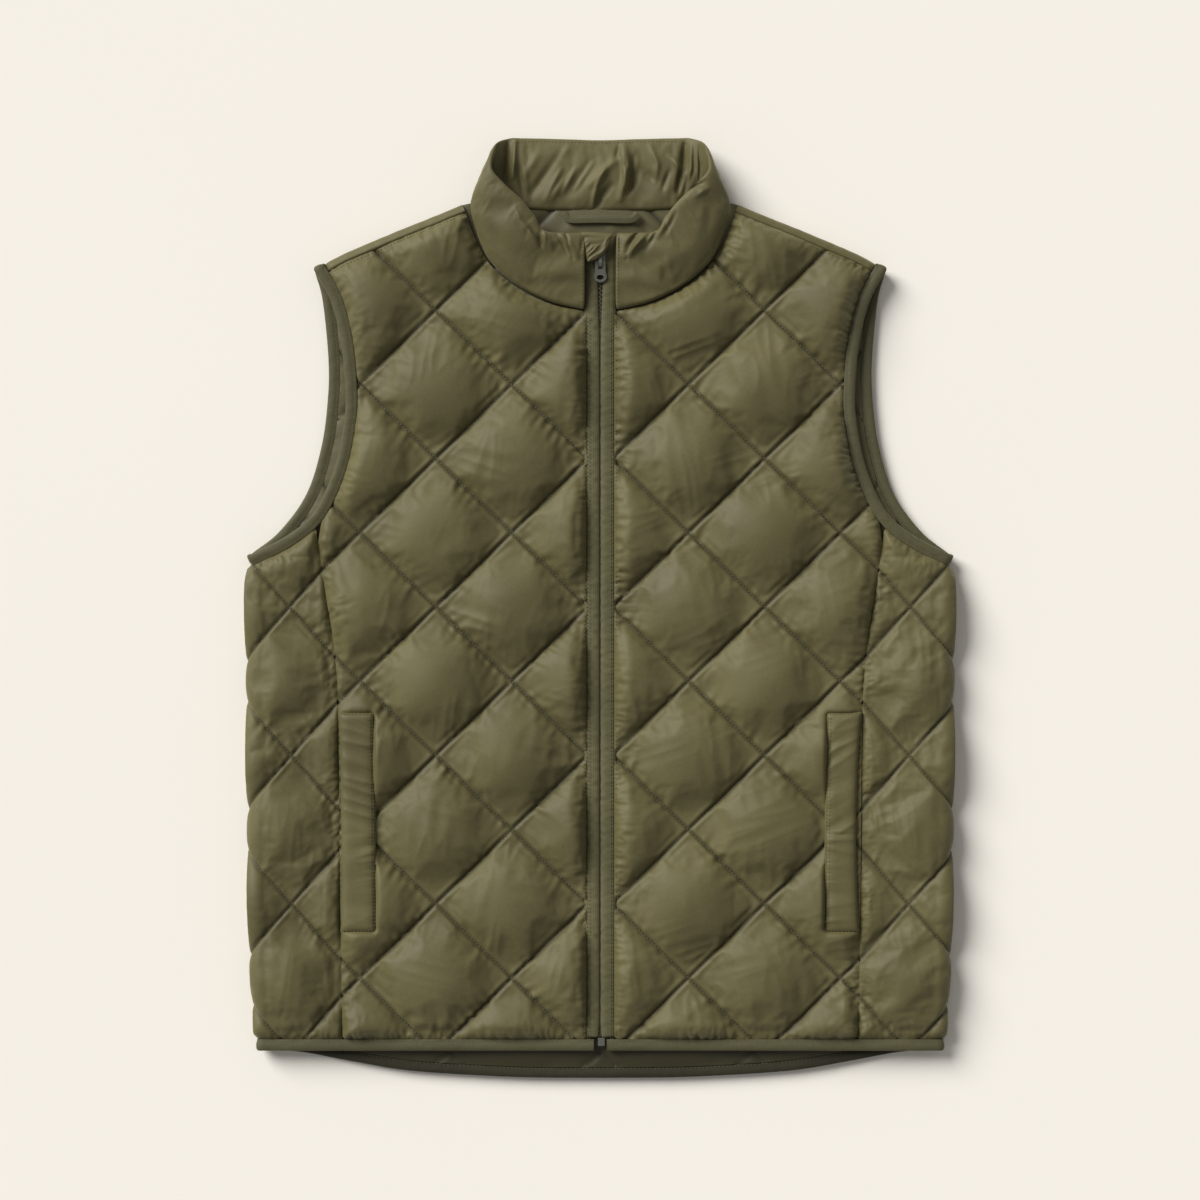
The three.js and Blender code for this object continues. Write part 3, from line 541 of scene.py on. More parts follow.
def metal_material(name, colour, roughness):
    """Enamelled die-cast metal, paler and darker in a fine random grain."""
    material, nodes, links, shader = new_material(name)
    place = add_node(nodes, "ShaderNodeTexCoord")
    grain = add_node(nodes, "ShaderNodeTexNoise", Scale=900.0, Detail=3.0)
    links.new(place.outputs["Object"], grain.inputs["Vector"])
    ramp = add_node(nodes, "ShaderNodeValToRGB")
    ramp.color_ramp.elements[0].color = (*[c * 0.8 for c in colour], 1)
    ramp.color_ramp.elements[1].color = (*[min(c * 1.35, 1) for c in colour], 1)
    links.new(grain.outputs["Fac"], ramp.inputs["Fac"])
    links.new(ramp.outputs["Color"], shader.inputs["Base Color"])
    shader.inputs["Metallic"].default_value = 0.75
    shader.inputs["Roughness"].default_value = roughness
    bump = add_node(nodes, "ShaderNodeBump", Strength=0.4, Distance=0.05 * METRES)
    links.new(grain.outputs["Fac"], bump.inputs["Height"])
    links.new(bump.outputs["Normal"], shader.inputs["Normal"])
    return material


NYLON = cloth_material("nylon", (0.086, 0.076, 0.028), (0.115, 0.102, 0.04), 0.6, 0.35, 0.3, 0.015, 0.1)
LINING = cloth_material("lining", (0.074, 0.065, 0.027), (0.1, 0.088, 0.039), 0.52, 0.2, 0.3, 0.015, 0.12)
BINDING = cloth_material("binding", (0.06, 0.055, 0.024), (0.08, 0.074, 0.033), 0.62, 0.35, 0.5, 0.06, 0.25)
# The back's hem binding is the same tape as BINDING, darkened with painted shade as if it lay in the front
# hem's shade.
BINDING_IN_PAINTED_SHADE = cloth_material(
    "binding_back", (0.019, 0.017, 0.007), (0.027, 0.024, 0.011), 0.75, 0.1, 0.5, 0.06, 0.25
)
TAPE = cloth_material("zip_tape", (0.074, 0.069, 0.03), (0.104, 0.097, 0.044), 0.7, 0.3, 0.8, 0.12, 0.1)
THREAD = cloth_material("thread", (0.07, 0.062, 0.026), (0.105, 0.094, 0.042), 0.6, 0.25, 0.25, 0.03, 0.05)
METAL = metal_material("metal", (0.16, 0.165, 0.14), 0.42)
TEETH = metal_material("zip_teeth", (0.07, 0.068, 0.04), 0.5)
TEETH.node_tree.nodes["Principled BSDF"].inputs["Metallic"].default_value = 0.0


# Lines that the pieces end on.
front_armhole = curve(FRONT_ARMHOLE)
back_armhole = curve(BACK_ARMHOLE)
front_armhole_seam = sideways(front_armhole, -BINDING_WIDTH)[::-1]
back_armhole_seam = sideways(back_armhole, -BINDING_WIDTH)[::-1]
shoulder_line = curve(SHOULDER)
princess_line = curve(PRINCESS)
side_line = curve(SIDE_EDGE)
neck_line = curve(NECK)
tail_line = curve(TAIL)


def princess_at(up):
    return read(princess_line, 1, 0, up)


def side_at(up):
    return read(side_line, 1, 0, up)


def front_outline():
    """The front panel's edge: zip, hem, princess seam, armhole, shoulder and neck."""
    princess = princess_line[(princess_line[:, 1] > HEM_SEAM) & (princess_line[:, 1] < 55)][::-1]
    armhole = front_armhole_seam[(front_armhole_seam[:, 0] < 224) & (front_armhole_seam[:, 1] < 269)]
    shoulder = sideways(shoulder_line, -SHOULDER_ROLL)
    shoulder = shoulder[shoulder[:, 0] < 217][::-1]
    neck = neck_line[neck_line[:, 1] < 310]
    corners = [[ZIP_SEAM, HEM_SEAM], [princess_at(HEM_SEAM), HEM_SEAM]]
    return np.vstack([corners, princess, armhole, shoulder, neck])


def quilt_cells(outline, cells=CELLS):
    """A grid along the quilt seams, cut to an outline and drawn in to its edge.

    Returns the plan points, the quads, and which points lie on a seam or on the edge.
    """
    corners = np.array([lattice(x, y) for x, y in outline])
    low = np.floor(corners.min(axis=0) * cells).astype(int) - 1
    high = np.ceil(corners.max(axis=0) * cells).astype(int) + 1
    i, j = np.meshgrid(np.arange(low[0], high[0] + 1), np.arange(low[1], high[1] + 1), indexing="ij")
    p, q = i / cells, j / cells
    plan = lattice_point(p, q)
    centres = (plan[:-1, :-1] + plan[1:, 1:]) / 2
    kept = inside(centres.reshape(-1, 2), outline).reshape(centres.shape[:2])
    columns = plan.shape[1]
    cell_i, cell_j = np.nonzero(kept)
    quads = np.stack([
        cell_i * columns + cell_j,
        (cell_i + 1) * columns + cell_j,
        (cell_i + 1) * columns + cell_j + 1,
        cell_i * columns + cell_j + 1,
    ], axis=1)
    used, faces = np.unique(quads, return_inverse=True)
    faces = faces.reshape(quads.shape)
    counts = np.bincount(faces.ravel(), minlength=len(used))
    plan = plan.reshape(-1, 2)[used]
    edge = counts < 4
    spots, _, _ = nearest_on(plan[edge], outline)
    plan[edge] = spots
    on_seam = ((i % cells == 0) | (j % cells == 0)).ravel()[used]
    return plan, faces, on_seam, edge


def puckers(out, up, seed):
    """Short gathers square to the quilt seams, uneven along them and gone 12 mm away."""
    p, q = lattice(out, up)
    total = np.zeros_like(out)
    for across, along, shift in ((p, q, 0.0), (q, p, 50.0)):
        seam = np.round(across)
        gone = (across - seam) * SEAM_PITCH
        side = np.sign(gone)
        place = along * SEAM_PITCH + gone * 0.25 * side
        label = seam * 97.0 + side * 31.0 + shift
        gather = waves(place, label, seed, 8.5)
        strength = np.clip(waves(place, label + 400, seed + 3, 60) + 0.35, 0, 1)
        total += gather * strength * np.exp(-np.abs(gone) / 6.5) * np.minimum(np.abs(gone) / 1.5, 1)
    return total


def swell_start(out, up, from_edge, height, seed):
    """Quilted cushions with broad dents, for the cloth to settle from."""
    dome = pillow(out, up)
    edge = np.sqrt(1 - (1 - np.clip(from_edge / 15, 0, 1)) ** 2)
    slack = waves(out, up, seed + 1, 46) * 0.8
    return height * dome * edge + slack * np.minimum(dome * 1.6, 1) * edge


def pinch(wave):
    """Narrows a wave's troughs into creases and leaves its crests broad."""
    return 0.5 - np.abs(wave - 0.35) ** 0.8


def wrinkle(piece, outline, seed, scale=1.0):
    """Gathers at the seams and edges, and soft hanging creases, in the finished mesh."""
    cut = cut_of(piece)
    out, up = cut[:, 0], cut[:, 1]
    _, from_edge, arc = nearest_on(cut, outline)
    open_cloth = smoothstep(np.minimum(seam_distance(out, up), from_edge), 0.8, 9.0)
    lean = out + up * 0.24
    where_hung = np.clip(waves(out, up, seed + 5, 62) * 1.5 + 0.3, 0, 1)
    hang = pinch(waves(lean, up * 0.2, seed, 13.5)) * where_hung
    where_crossed = np.clip(waves(out, up, seed + 7, 80), 0, 1)
    cross = pinch(waves(up - out * 0.3, out * 0.2, seed + 6, 15)) * where_crossed
    gathers = puckers(out, up, seed + 2)
    strength = 0.35 + 0.65 * np.clip(waves(arc, arc * 0, seed + 12, 80) + 0.4, 0, 1)
    reach = 5 + 4 * np.clip(waves(arc, arc * 0, seed + 13, 23) + 0.4, 0, 1)
    edge_gather = pinch(waves(arc, from_edge * 0.35, seed + 9, 6.2)) * strength * np.exp(-from_edge / reach)
    start = np.minimum(from_edge / 1.6, 1)
    lift = (HANG_LIFT * hang + CROSS_LIFT * cross) * open_cloth
    lift += (SEAM_GATHER * gathers + EDGE_GATHER * edge_gather) * start
    points = points_of(piece.data)
    set_points(piece.data, points + normals_of(piece.data) * (lift * scale)[:, None])


def welt_area(out, up):
    edge = princess_at(up)
    return (out > edge - WELT["width"]) & (up < WELT["top"]) & (up > WELT["bottom"])


def make_front(sign, seed):
    outline = front_outline()
    plan, faces, on_seam, edge = quilt_cells(outline)
    out, up = plan[:, 0], plan[:, 1]
    _, from_edge, _ = nearest_on(plan, outline)
    points = np.column_stack([out, up, SEAM_Z + swell_start(out, up, from_edge, PILLOW_HEIGHT, seed)])
    under_welt = welt_area(out, up)
    points[on_seam | edge, 2] = SEAM_Z
    points[under_welt, 2] = WELT["bed"]
    held = np.nonzero(on_seam | edge | under_welt)[0]
    if sign < 0:
        points[:, 0] *= -1
        faces = faces[:, ::-1]
    name = "front_left" if sign > 0 else "front_right"
    piece = make_mesh(name + "_quilt", points, faces, NYLON)
    keep_cut(piece, plan)
    inflate(piece, held, PILLOW_STRETCH)
    subdivide(piece)
    wrinkle(piece, outline, seed)
    sew_down(piece)
    dress(piece, name)


def dress(piece, node):
    """Hides the piece's node in model.glb and ties the piece to the vest."""
    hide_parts(node)
    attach(piece, "vest")


def side_section(arc, up):
    """A side panel's surface at an arc length from the princess seam, over the top and round underneath."""
    low, high = HEM_SEAM, UNDERARM_SEAM + 8
    from_end = np.minimum(up - low, high - up)
    left = 1 - np.clip(from_end / 30, 0, 1)
    radius = 4.6 + (SIDE_RADIUS - 4.6) * np.sqrt(1 - left**2)
    seam = princess_at(up)
    centre = side_at(up) - 1.3 - radius
    top = centre - seam
    turn = np.clip((arc - top) / radius, 0, math.pi)
    over = np.clip(arc - top - math.pi * radius, 0, None)
    out = seam + np.minimum(arc, top) + radius * np.sin(turn) - over
    rise = smoothstep(np.minimum(arc, top), 0, top)
    flat_z = SEAM_Z + (SIDE_CENTRE_Z + radius - SEAM_Z) * rise
    z = np.where(arc < top, flat_z, SIDE_CENTRE_Z + radius * np.cos(turn))
    return out, z, top + math.pi * radius + (centre - BACK_SEAM)


def side_outline():
    """A side panel's edge on its cut: the princess seam, the armhole, the back seam and the hem."""
    ups = np.linspace(HEM_SEAM, 58, 60)
    seam = np.column_stack([princess_at(ups), ups])
    arcs = np.linspace(0, 1, 50)
    ends = []
    for share in arcs:
        up = 50.0
        for _ in range(6):
            _, _, whole = side_section(np.array(0.0), np.array(up))
            out, z, _ = side_section(np.array(share * whole), np.array(up))
            if z > SIDE_CENTRE_Z + 3:
                up = float(read(front_armhole_seam[front_armhole_seam[:, 1] < 110], 0, 1, out))
            elif z > SIDE_CENTRE_Z - 3:
                up = UNDERARM_SEAM
            else:
                up = float(read(back_armhole_seam[back_armhole_seam[:, 1] < 120], 0, 1, out))
        ends.append([princess_at(up) + share * whole * SIDE_SPREAD, up])
    right = []
    for up in np.linspace(ends[-1][1], HEM_SEAM, 60)[1:]:
        _, _, whole = side_section(np.array(0.0), np.array(up))
        right.append([princess_at(up) + whole * SIDE_SPREAD, up])
    return np.vstack([seam, np.array(ends), np.array(right)])


def make_side(sign, seed):
    outline = side_outline()
    plan, faces, on_seam, edge = quilt_cells(outline)
    arc = (plan[:, 0] - princess_at(plan[:, 1])) / SIDE_SPREAD
    up = plan[:, 1]
    out, z, _ = side_section(arc, up)
    ahead, ahead_z, _ = side_section(arc + 0.5, up)
    slope = np.column_stack([ahead - out, ahead_z - z])
    slope /= np.linalg.norm(slope, axis=1)[:, None] + 1e-9
    _, from_edge, _ = nearest_on(plan, outline)
    lift = swell_start(plan[:, 0], up, from_edge, PILLOW_HEIGHT * 0.7, seed)
    lift[on_seam | edge] = 0
    points = np.column_stack([out - slope[:, 1] * lift, up, z + slope[:, 0] * lift])
    if sign < 0:
        points[:, 0] *= -1
        faces = faces[:, ::-1]
    name = "side_left" if sign > 0 else "side_right"
    piece = make_mesh(name + "_quilt", points, faces, NYLON)
    keep_cut(piece, plan)
    inflate(piece, np.nonzero(on_seam | edge)[0], PILLOW_STRETCH)
    subdivide(piece)
    wrinkle(piece, outline, seed, 0.8)
    sew_down(piece, 1.2)
    points = points_of(piece.data)
    points[:, 2] = np.maximum(points[:, 2], FLOOR_GAP)
    limit = side_at(points[:, 1]) + 1.6
    points[:, 0] = np.clip(points[:, 0], -limit, limit)
    set_points(piece.data, points)
    dress(piece, name)


def back_outline():
    armhole = back_armhole_seam[(back_armhole_seam[:, 0] < BACK_SEAM) & (back_armhole_seam[:, 1] < 262)]
    shoulder = shoulder_line[shoulder_line[:, 0] < 218][::-1]
    neck = curve(BACK_NECK, 8)[::-1] + [0, 12]
    tail = sideways(tail_line, -BINDING_WIDTH + 0.5)[::-1]
    tail = tail[tail[:, 0] < BACK_SEAM]
    half = np.vstack([tail[1:], [[BACK_SEAM, HEM_SEAM]], armhole, shoulder, neck])
    other = half[:-1][::-1] * [-1, 1]
    return np.vstack([tail[:1], half, other])


def make_back():
    """The back's quilted underside, pressed flat where it lies, and its lining on the inner face."""
    outline = back_outline()
    centred = [LATTICE_OUT, 0]
    cut, faces, _, _ = quilt_cells(outline + centred, BACK_CELLS)
    plan = cut - centred
    out, up = cut[:, 0], cut[:, 1]
    _, from_edge, _ = nearest_on(plan, outline)
    near = np.exp(-(seam_distance(out, up) / 5.5) ** 2)
    pucker = waves(plan[:, 0], up, 5, 9) * 0.5 * np.exp(-(seam_distance(out, up) / 12) ** 2)
    at_side = smoothstep(np.abs(plan[:, 0]), 222, 236) * (1 - smoothstep(up, 20, 66))
    edge_rise = BACK_EDGE_RISE - BACK_SIDE_DROP * at_side
    under = BACK_HOLLOW * near + pucker * near + edge_rise * (1 - np.clip(from_edge / 11, 0, 1)) ** 2
    piece = make_mesh("back_quilt", np.column_stack([plan, under]), faces[:, ::-1], NYLON)
    keep_cut(piece, cut)
    subdivide(piece)
    sew_down(piece, 0.9)
    points = points_of(piece.data)
    points[:, 2] = np.maximum(points[:, 2], FLOOR_GAP)
    set_points(piece.data, points)
    dress(piece, "back")
    puff = pillow(out, up) * np.sqrt(np.clip(from_edge / 20, 0, 1))
    inner = LINING_Z + LINING_PUFF * puff + waves(plan[:, 0], up, 8, 17) * 0.25
    inner = np.minimum(inner, 11.6)
    lining = make_mesh("back_lining", np.column_stack([plan, inner]), faces, LINING)
    keep_cut(lining, cut)
    subdivide(lining)
    wrinkle(lining, outline + centred, 300, 0.5)
    sew_down(lining, 1.6)
    points = crease(points_of(lining.data), LINING_CREASES)
    # Painted shade on the lining's colour: along its seams, and towards the hem where the front's hem would
    # shade it.
    shade = lining.data.attributes["seam_shade"]
    seam_painted_shade = np.empty(len(points))
    shade.data.foreach_get("value", seam_painted_shade)
    hem_painted_shade = 0.9 * smoothstep(-points[:, 1], 325, 348)
    shade.data.foreach_set("value", np.maximum(seam_painted_shade, hem_painted_shade))
    points[:, 2] = np.clip(points[:, 2], LINING_LOW, LINING_HIGH)
    set_points(lining.data, points)
    dress(lining, "back")


def tube_along(path, inward, section, closed=False):
    """A section swept along a path: the distance inwards and the rise of each of its points."""
    path = np.asarray(path, float)
    if closed:
        along = np.roll(path, -1, axis=0) - np.roll(path, 1, axis=0)
    else:
        along = np.gradient(path, axis=0)
    along /= np.linalg.norm(along, axis=1)[:, None]
    across = inward - (inward * along).sum(axis=1)[:, None] * along
    across /= np.linalg.norm(across, axis=1)[:, None]
    normal = np.cross(along, across)
    section = np.asarray(section, float)
    return (
        path[:, None, :]
        + across[:, None, :] * section[None, :, 0, None]
        + normal[:, None, :] * section[None, :, 1, None]
    )


def strip_piece(name, points, material, closed=False):
    """An open strip of cloth from rows of points; closed joins its last row to its first."""
    rows, columns = points.shape[:2]
    faces = grid_faces(rows, columns)
    if closed:
        base = (rows - 1) * columns
        faces += [(base + c, base + c + 1, c + 1, c) for c in range(columns - 1)]
    piece = make_mesh(name, points.reshape(-1, 3), faces, material)
    turn_out(piece)
    return piece


def swept_piece(name, points, material):
    """A closed solid from rows of points round it, with its two ends capped."""
    rows, columns = points.shape[:2]
    faces = grid_faces(rows, columns, closed=True)
    faces += [tuple(range(columns))[::-1], tuple((rows - 1) * columns + c for c in range(columns))]
    piece = make_mesh(name, points.reshape(-1, 3), faces, material)
    turn_out(piece)
    return piece


def turn_out(piece):
    """Turns a closed piece's faces outwards."""
    work = bmesh.new()
    work.from_mesh(piece.data)
    bmesh.ops.recalc_face_normals(work, faces=work.faces)
    work.to_mesh(piece.data)
    work.free()


def binding_section():
    """A folded tape from one sewn edge round the fold to the other, as (inwards, rise)."""
    half = BINDING_THICKNESS / 2
    upper = [(0, 0), (0.015, 0.4), (0.06, 0.74), (0.16, 0.98), (0.4, 1.05)]
    upper += [(0.66, 0.95), (0.8, 0.66), (0.9, 0.72), (1, 0.5)]
    ring = upper[::-1] + [(x, -y) for x, y in upper[1:]]
    return [(x * BINDING_WIDTH, y * half) for x, y in ring]


def plan_inward(points, turn):
    along = np.gradient(points[:, :2], axis=0)
    return np.column_stack([-along[:, 1] * turn, along[:, 0] * turn, np.zeros(len(points))])


def fold_round(start, end, outward, steps=7):
    """Points on a half circle from one layer's height to the other's."""
    shares = np.linspace(0, 1, steps + 1)[1:-1]
    points = start + (end - start) * shares[:, None]
    radius = (start[2] - end[2]) / 2
    points[:, 2] = (start[2] + end[2]) / 2 + radius * np.cos(math.pi * shares)
    points += np.asarray(outward) * (abs(radius) * 0.35 * np.sin(math.pi * shares))[:, None]
    return points


def between(start, end, steps=7):
    shares = np.linspace(0, 1, steps + 1)[1:-1][:, None]
    start = start / np.linalg.norm(start)
    end = end / np.linalg.norm(end)
    return start + (end - start) * shares


def ruffle(points, seed, size=6.0, depth=0.28):
    """Small uneven puckers in a sewn tape."""
    flat = points.reshape(-1, 3)
    shift = waves(flat[:, 0] + flat[:, 2] * 2, flat[:, 1] - flat[:, 2], seed, size) * depth
    flat[:, 2] += shift
    return flat.reshape(points.shape)


def armhole_path():
    front = at_height(front_armhole, FRONT_BINDING_Z)
    back = at_height(back_armhole[::-1], BACK_BINDING_Z)
    front_in = plan_inward(front, -1)
    back_in = plan_inward(back, 1)
    underarm = fold_round(front[-1], back[0], (1, 0, 0))
    shoulder = fold_round(back[-1], front[0], (0, 1, 0))
    path = np.vstack([front, underarm, back, shoulder])
    turn_under = between(front_in[-1], back_in[0])
    turn_over = between(back_in[-1], front_in[0])
    inward = np.vstack([front_in, turn_under, back_in, turn_over])
    return path, inward


def make_armhole(sign, seed):
    path, inward = armhole_path()
    path = path * [sign, 1, 1]
    inward = inward * [sign, 1, 1]
    points = tube_along(path, inward, binding_section(), closed=True)
    name = "armhole_binding_left" if sign > 0 else "armhole_binding_right"
    piece = strip_piece(name + "_tape", ruffle(points, seed), BINDING, closed=True)
    dress(piece, name)


def hem_paths():
    side = float(side_at(HEM_EDGE)) - 3
    outs = np.arange(ZIP_SEAM - 6, side, 3.0)
    front = at_height(at_height(outs, HEM_EDGE), FRONT_BINDING_Z)
    end = np.array([side, HEM_EDGE, BACK_BINDING_Z])
    front = np.vstack([front, fold_round(front[-1], end, (1, 0, 0)), end])
    whole = np.vstack([tail_line[:-1] * [-1, 1], tail_line[::-1]])
    return front, at_height(whole, BACK_BINDING_Z)


def make_hems():
    front, back = hem_paths()
    for sign, name in ((1, "hem_binding_left"), (-1, "hem_binding_right")):
        path = front * [sign, 1, 1]
        points = tube_along(path, np.tile([0.0, 1.0, 0.0], (len(path), 1)), binding_section())
        piece = strip_piece(name + "_tape", ruffle(points, 31 + sign), BINDING)
        dress(piece, name)
    points = tube_along(back, plan_inward(back, 1), binding_section())
    piece = strip_piece("hem_binding_back_tape", ruffle(points, 41), BINDING_IN_PAINTED_SHADE)
    dress(piece, "hem_binding_back")


def make_shoulders():
    """The back panel's rolls over the shoulders, down to the seams with the fronts."""
    row_step = 1.5
    line = spaced(np.vstack([shoulder_line, [[225, 274.2], [229, 272]]]), row_step)
    to_end = np.linalg.norm(line - line[-1], axis=1)
    tuck = 0.72 + 0.28 * smoothstep(to_end, 4, 14)
    section = [(0.8, 3.6), (0.1, 7), (0, 9.6), (0.6, 12), (2, 14.2)]
    section += [(4, 15.8), (5.8, 16.6), (7.1, 16.3), (7.9, 14.8)]
    inward = plan_inward(line, -1)
    inward /= np.linalg.norm(inward, axis=1)[:, None]
    for sign in (1, -1):
        rows = []
        for share, height in section:
            row = np.column_stack([line, height * tuck]) + inward * share
            along = np.arange(len(line)) * row_step
            middle = math.sin(math.pi * min(max((height - 3) / 14.0, 0), 1))
            row[:, 2] += waves(along, along * 0 + share * 3, 51 + sign, 12) * 0.7 * middle
            rows.append(row * [sign, 1, 1])
        points = np.stack(rows, axis=1)
        faces = grid_faces(points.shape[0], points.shape[1])
        if sign < 0:
            faces = [tuple(reversed(face)) for face in faces]
        name = "shoulder_left" if sign > 0 else "shoulder_right"
        piece = make_mesh(name, points.reshape(-1, 3), faces, NYLON)
        subdivide(piece)
        dress(piece, "back")


def collar_rows(per_span=12):
    right = np.array(COLLAR, float)
    left = right * [-1, 1, 1, -1, 1, 1, 1]
    rows = np.vstack([left, right[:-1][::-1]])
    return catmull(rows, per_span)


def collar_grid(rows, up_steps=22):
    """The collar's closed section at each station: up the outer face and down the inner one."""
    seams, tops, thick = rows[:, 0:3], rows[:, 3:6], rows[:, 6]
    middle = (seams + tops) / 2
    along = np.gradient(middle, axis=0)
    height = tops - seams
    normal = np.cross(height, along)
    normal /= np.linalg.norm(normal, axis=1)[:, None]
    shares = np.linspace(0, 1, up_steps)
    bulge = 0.2 + 0.9 * np.clip(1 - (2 * shares - 1) ** 2, 0, 1) ** 0.6
    sides = [(share, width) for share, width in zip(shares, bulge)]
    sides += [(share, -width) for share, width in reversed(sides)]
    section = np.array(sides)
    points = (
        seams[:, None, :]
        + height[:, None, :] * section[None, :, 0, None]
        + normal[:, None, :] * section[None, :, 1, None] * thick[:, None, None] / 2
    )
    return points, section


def make_collar():
    rows = collar_rows()
    points, section = collar_grid(rows)
    count, ring = points.shape[:2]
    flat = points.reshape(-1, 3)
    share = np.tile(section[:, 0], count)
    flat[:, 2] += waves(flat[:, 0], flat[:, 1], 61, 40) * 0.8 * np.sin(math.pi * share)
    flat[:, 2] = np.maximum(flat[:, 2], FLOOR_GAP)
    faces = grid_faces(count, ring, closed=True)
    faces += [tuple(range(ring))[::-1], tuple((count - 1) * ring + k for k in range(ring))]
    piece = make_mesh("collar_padded", flat, faces, NYLON)
    turn_out(piece)
    station = np.repeat(np.arange(count), ring)
    ends = (station < 1) | (station > count - 2)
    sewn = share < 0.01
    held = np.nonzero(sewn | ends)[0]
    top = np.nonzero((share > 0.99) & ~ends)[0]
    inflate(piece, held, -0.012, pressure=3.0, frames=6, soft=[(k, 0.6) for k in top])
    subdivide(piece)
    swollen = points_of(piece.data)
    facing = smoothstep(normals_of(piece.data)[:, 2], 0.0, 0.5)
    swollen = crease(swollen, COLLAR_CREASES, facing * COLLAR_CREASE_SCALE)
    swollen[:, 2] = np.maximum(swollen[:, 2], FLOOR_GAP)
    set_points(piece.data, swollen)
    dress(piece, "collar")


def make_welt(sign):
    """A pocket welt: a padded strip with soft creases from its sewn edge, and its mouth a little open."""
    ups = np.linspace(WELT["bottom"], WELT["top"], 141)
    shares = np.linspace(0, 1, 26)
    sag = 3.4 if sign > 0 else 1.0
    rows = []
    for up in ups:
        along = (up - WELT["bottom"]) / (WELT["top"] - WELT["bottom"])
        edge = float(princess_at(up)) - WELT_SHIFT
        inner = edge - WELT["width"]
        outer = edge - sag * math.sin(math.pi * along) ** 0.7
        out = inner + (outer - inner) * shares
        from_end = min(up - WELT["bottom"], WELT["top"] - up)
        ends = math.sqrt(1 - (1 - min(from_end / 6, 1)) ** 2)
        body = np.sqrt(np.clip(1 - np.abs(2 * shares - 1) ** 4, 0, 1)) * ends
        fan = up - (shares - 0.1) * 11 * (1 if along > 0.45 else -0.4)
        crease_up = pinch(waves(fan, shares * 6, 71 + sign, 21)) * 1.5 * (1.15 - 0.75 * shares)
        crease_up += pinch(waves(fan, shares * 9, 75 + sign, 9)) * 0.7 * np.exp(-shares / 0.35)
        height = 1.4 + WELT["bed"] + WELT["thickness"] * body + crease_up * np.minimum(body * 1.5, 1)
        rows.append(np.column_stack([out, np.full_like(out, up), height]))
    top = np.array(rows) * [sign, 1, 1]
    bottom = top.copy()
    bottom[:, :, 2] = WELT["bed"] + 0.3
    ring = np.concatenate([top, bottom[:, ::-1]], axis=1)
    name = "welt_left" if sign > 0 else "welt_right"
    piece = swept_piece(name + "_strip", ring, NYLON)
    dress(piece, name)


def make_tapes():
    """The zip's tapes, each rolled down to the teeth along its inner edge, and the teeth below the slit."""
    ups = np.arange(-343.0, 299.5, 1.5)
    for sign, name in ((1, "zip_tape_left"), (-1, "zip_tape_right")):
        gap = np.interp(ups, [-343, -330, 214, 258, 300], [1.2, 0.35, 0.35, 1.8, 1.9])
        section = [(0, -0.9), (0.02, -0.1), (0.1, 0.55), (0.28, 0.95), (0.5, 0.8), (0.62, 0.5), (1, 0.35)]
        section += [(1, -0.5), (0.5, -0.6)]
        rows = []
        for share, rise in section:
            out = gap + (ZIP_SEAM + 1.6 - gap) * share
            wobble = waves(ups * 0 + share * 9, ups, 81 + sign, 40) * 0.25
            rows.append(np.column_stack([out * sign, ups, TAPE_Z + rise + wobble]))
        ring = ruffle(np.stack(rows, axis=1), 85 + sign, 6.0, 0.45)
        piece = swept_piece(name + "_cloth", ring, TAPE)
        dress(piece, name)
    pitch, foot, head = 1.7, -342, 268
    count = int((head - foot) / pitch)
    base = np.array([(x, y, z) for x in (-1.0, 1.0) for y in (-0.5, 0.5) for z in (-0.4, 0.4)])
    quads = [(0, 1, 3, 2), (4, 6, 7, 5), (0, 4, 5, 1), (2, 3, 7, 6), (0, 2, 6, 4), (1, 5, 7, 3)]
    points, faces = [], []
    for k in range(count):
        side = 1 if k % 2 else -1
        points.append(base + [0.5 * side, foot + k * pitch, 12.9])
        faces += [tuple(8 * k + i for i in quad) for quad in quads]
    teeth = make_mesh("zip_teeth", np.vstack(points), faces, TEETH, smooth=False)
    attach(teeth, "vest")


def make_garage():
    """The flap over the slider, with slanting folds."""
    corners = [(-15.5, 301), (-14.2, 292), (-10.6, 277.6), (-8.6, 276.6)]
    corners += [(-2, 279.4), (5.4, 286.5), (10.6, 299.6)]
    edge = curve(corners, 1.0)
    centre = edge.mean(axis=0)
    shares = np.linspace(1, 0, 14)[:-1]
    rings = []
    for share in shares:
        plan = centre + (edge - centre) * share
        slant = plan[:, 0] * 0.78 - plan[:, 1] * 0.62 + waves(plan[:, 0], plan[:, 1], 91, 16) * 1.8
        folds = pinch(np.sin(slant * 0.82 + 0.9)) * 1.3 * (1 - share**6)
        puff = 1.9 * np.sqrt(np.clip(1 - share**3, 0, 1))
        rings.append(np.column_stack([plan, 22.0 + puff + folds]))
    points = np.vstack([np.vstack(rings), [[centre[0], centre[1], rings[-1][:, 2].mean()]]])
    count = len(edge)
    faces = grid_faces(len(rings), count, closed=True)
    tip = len(points) - 1
    last = (len(rings) - 1) * count
    faces += [(last + k, last + (k + 1) % count, tip) for k in range(count)]
    lower = rings[0] - [0, 0, 1.2]
    start = len(points)
    points = np.vstack([points, lower])
    faces += [(start + k, start + (k + 1) % count, (k + 1) % count, k) for k in range(count)]
    faces.append(tuple(start + k for k in range(count))[::-1])
    piece = make_mesh("zip_garage_flap", points, faces, NYLON)
    turn_out(piece)
    subdivide(piece)
    dress(piece, "zip_garage")


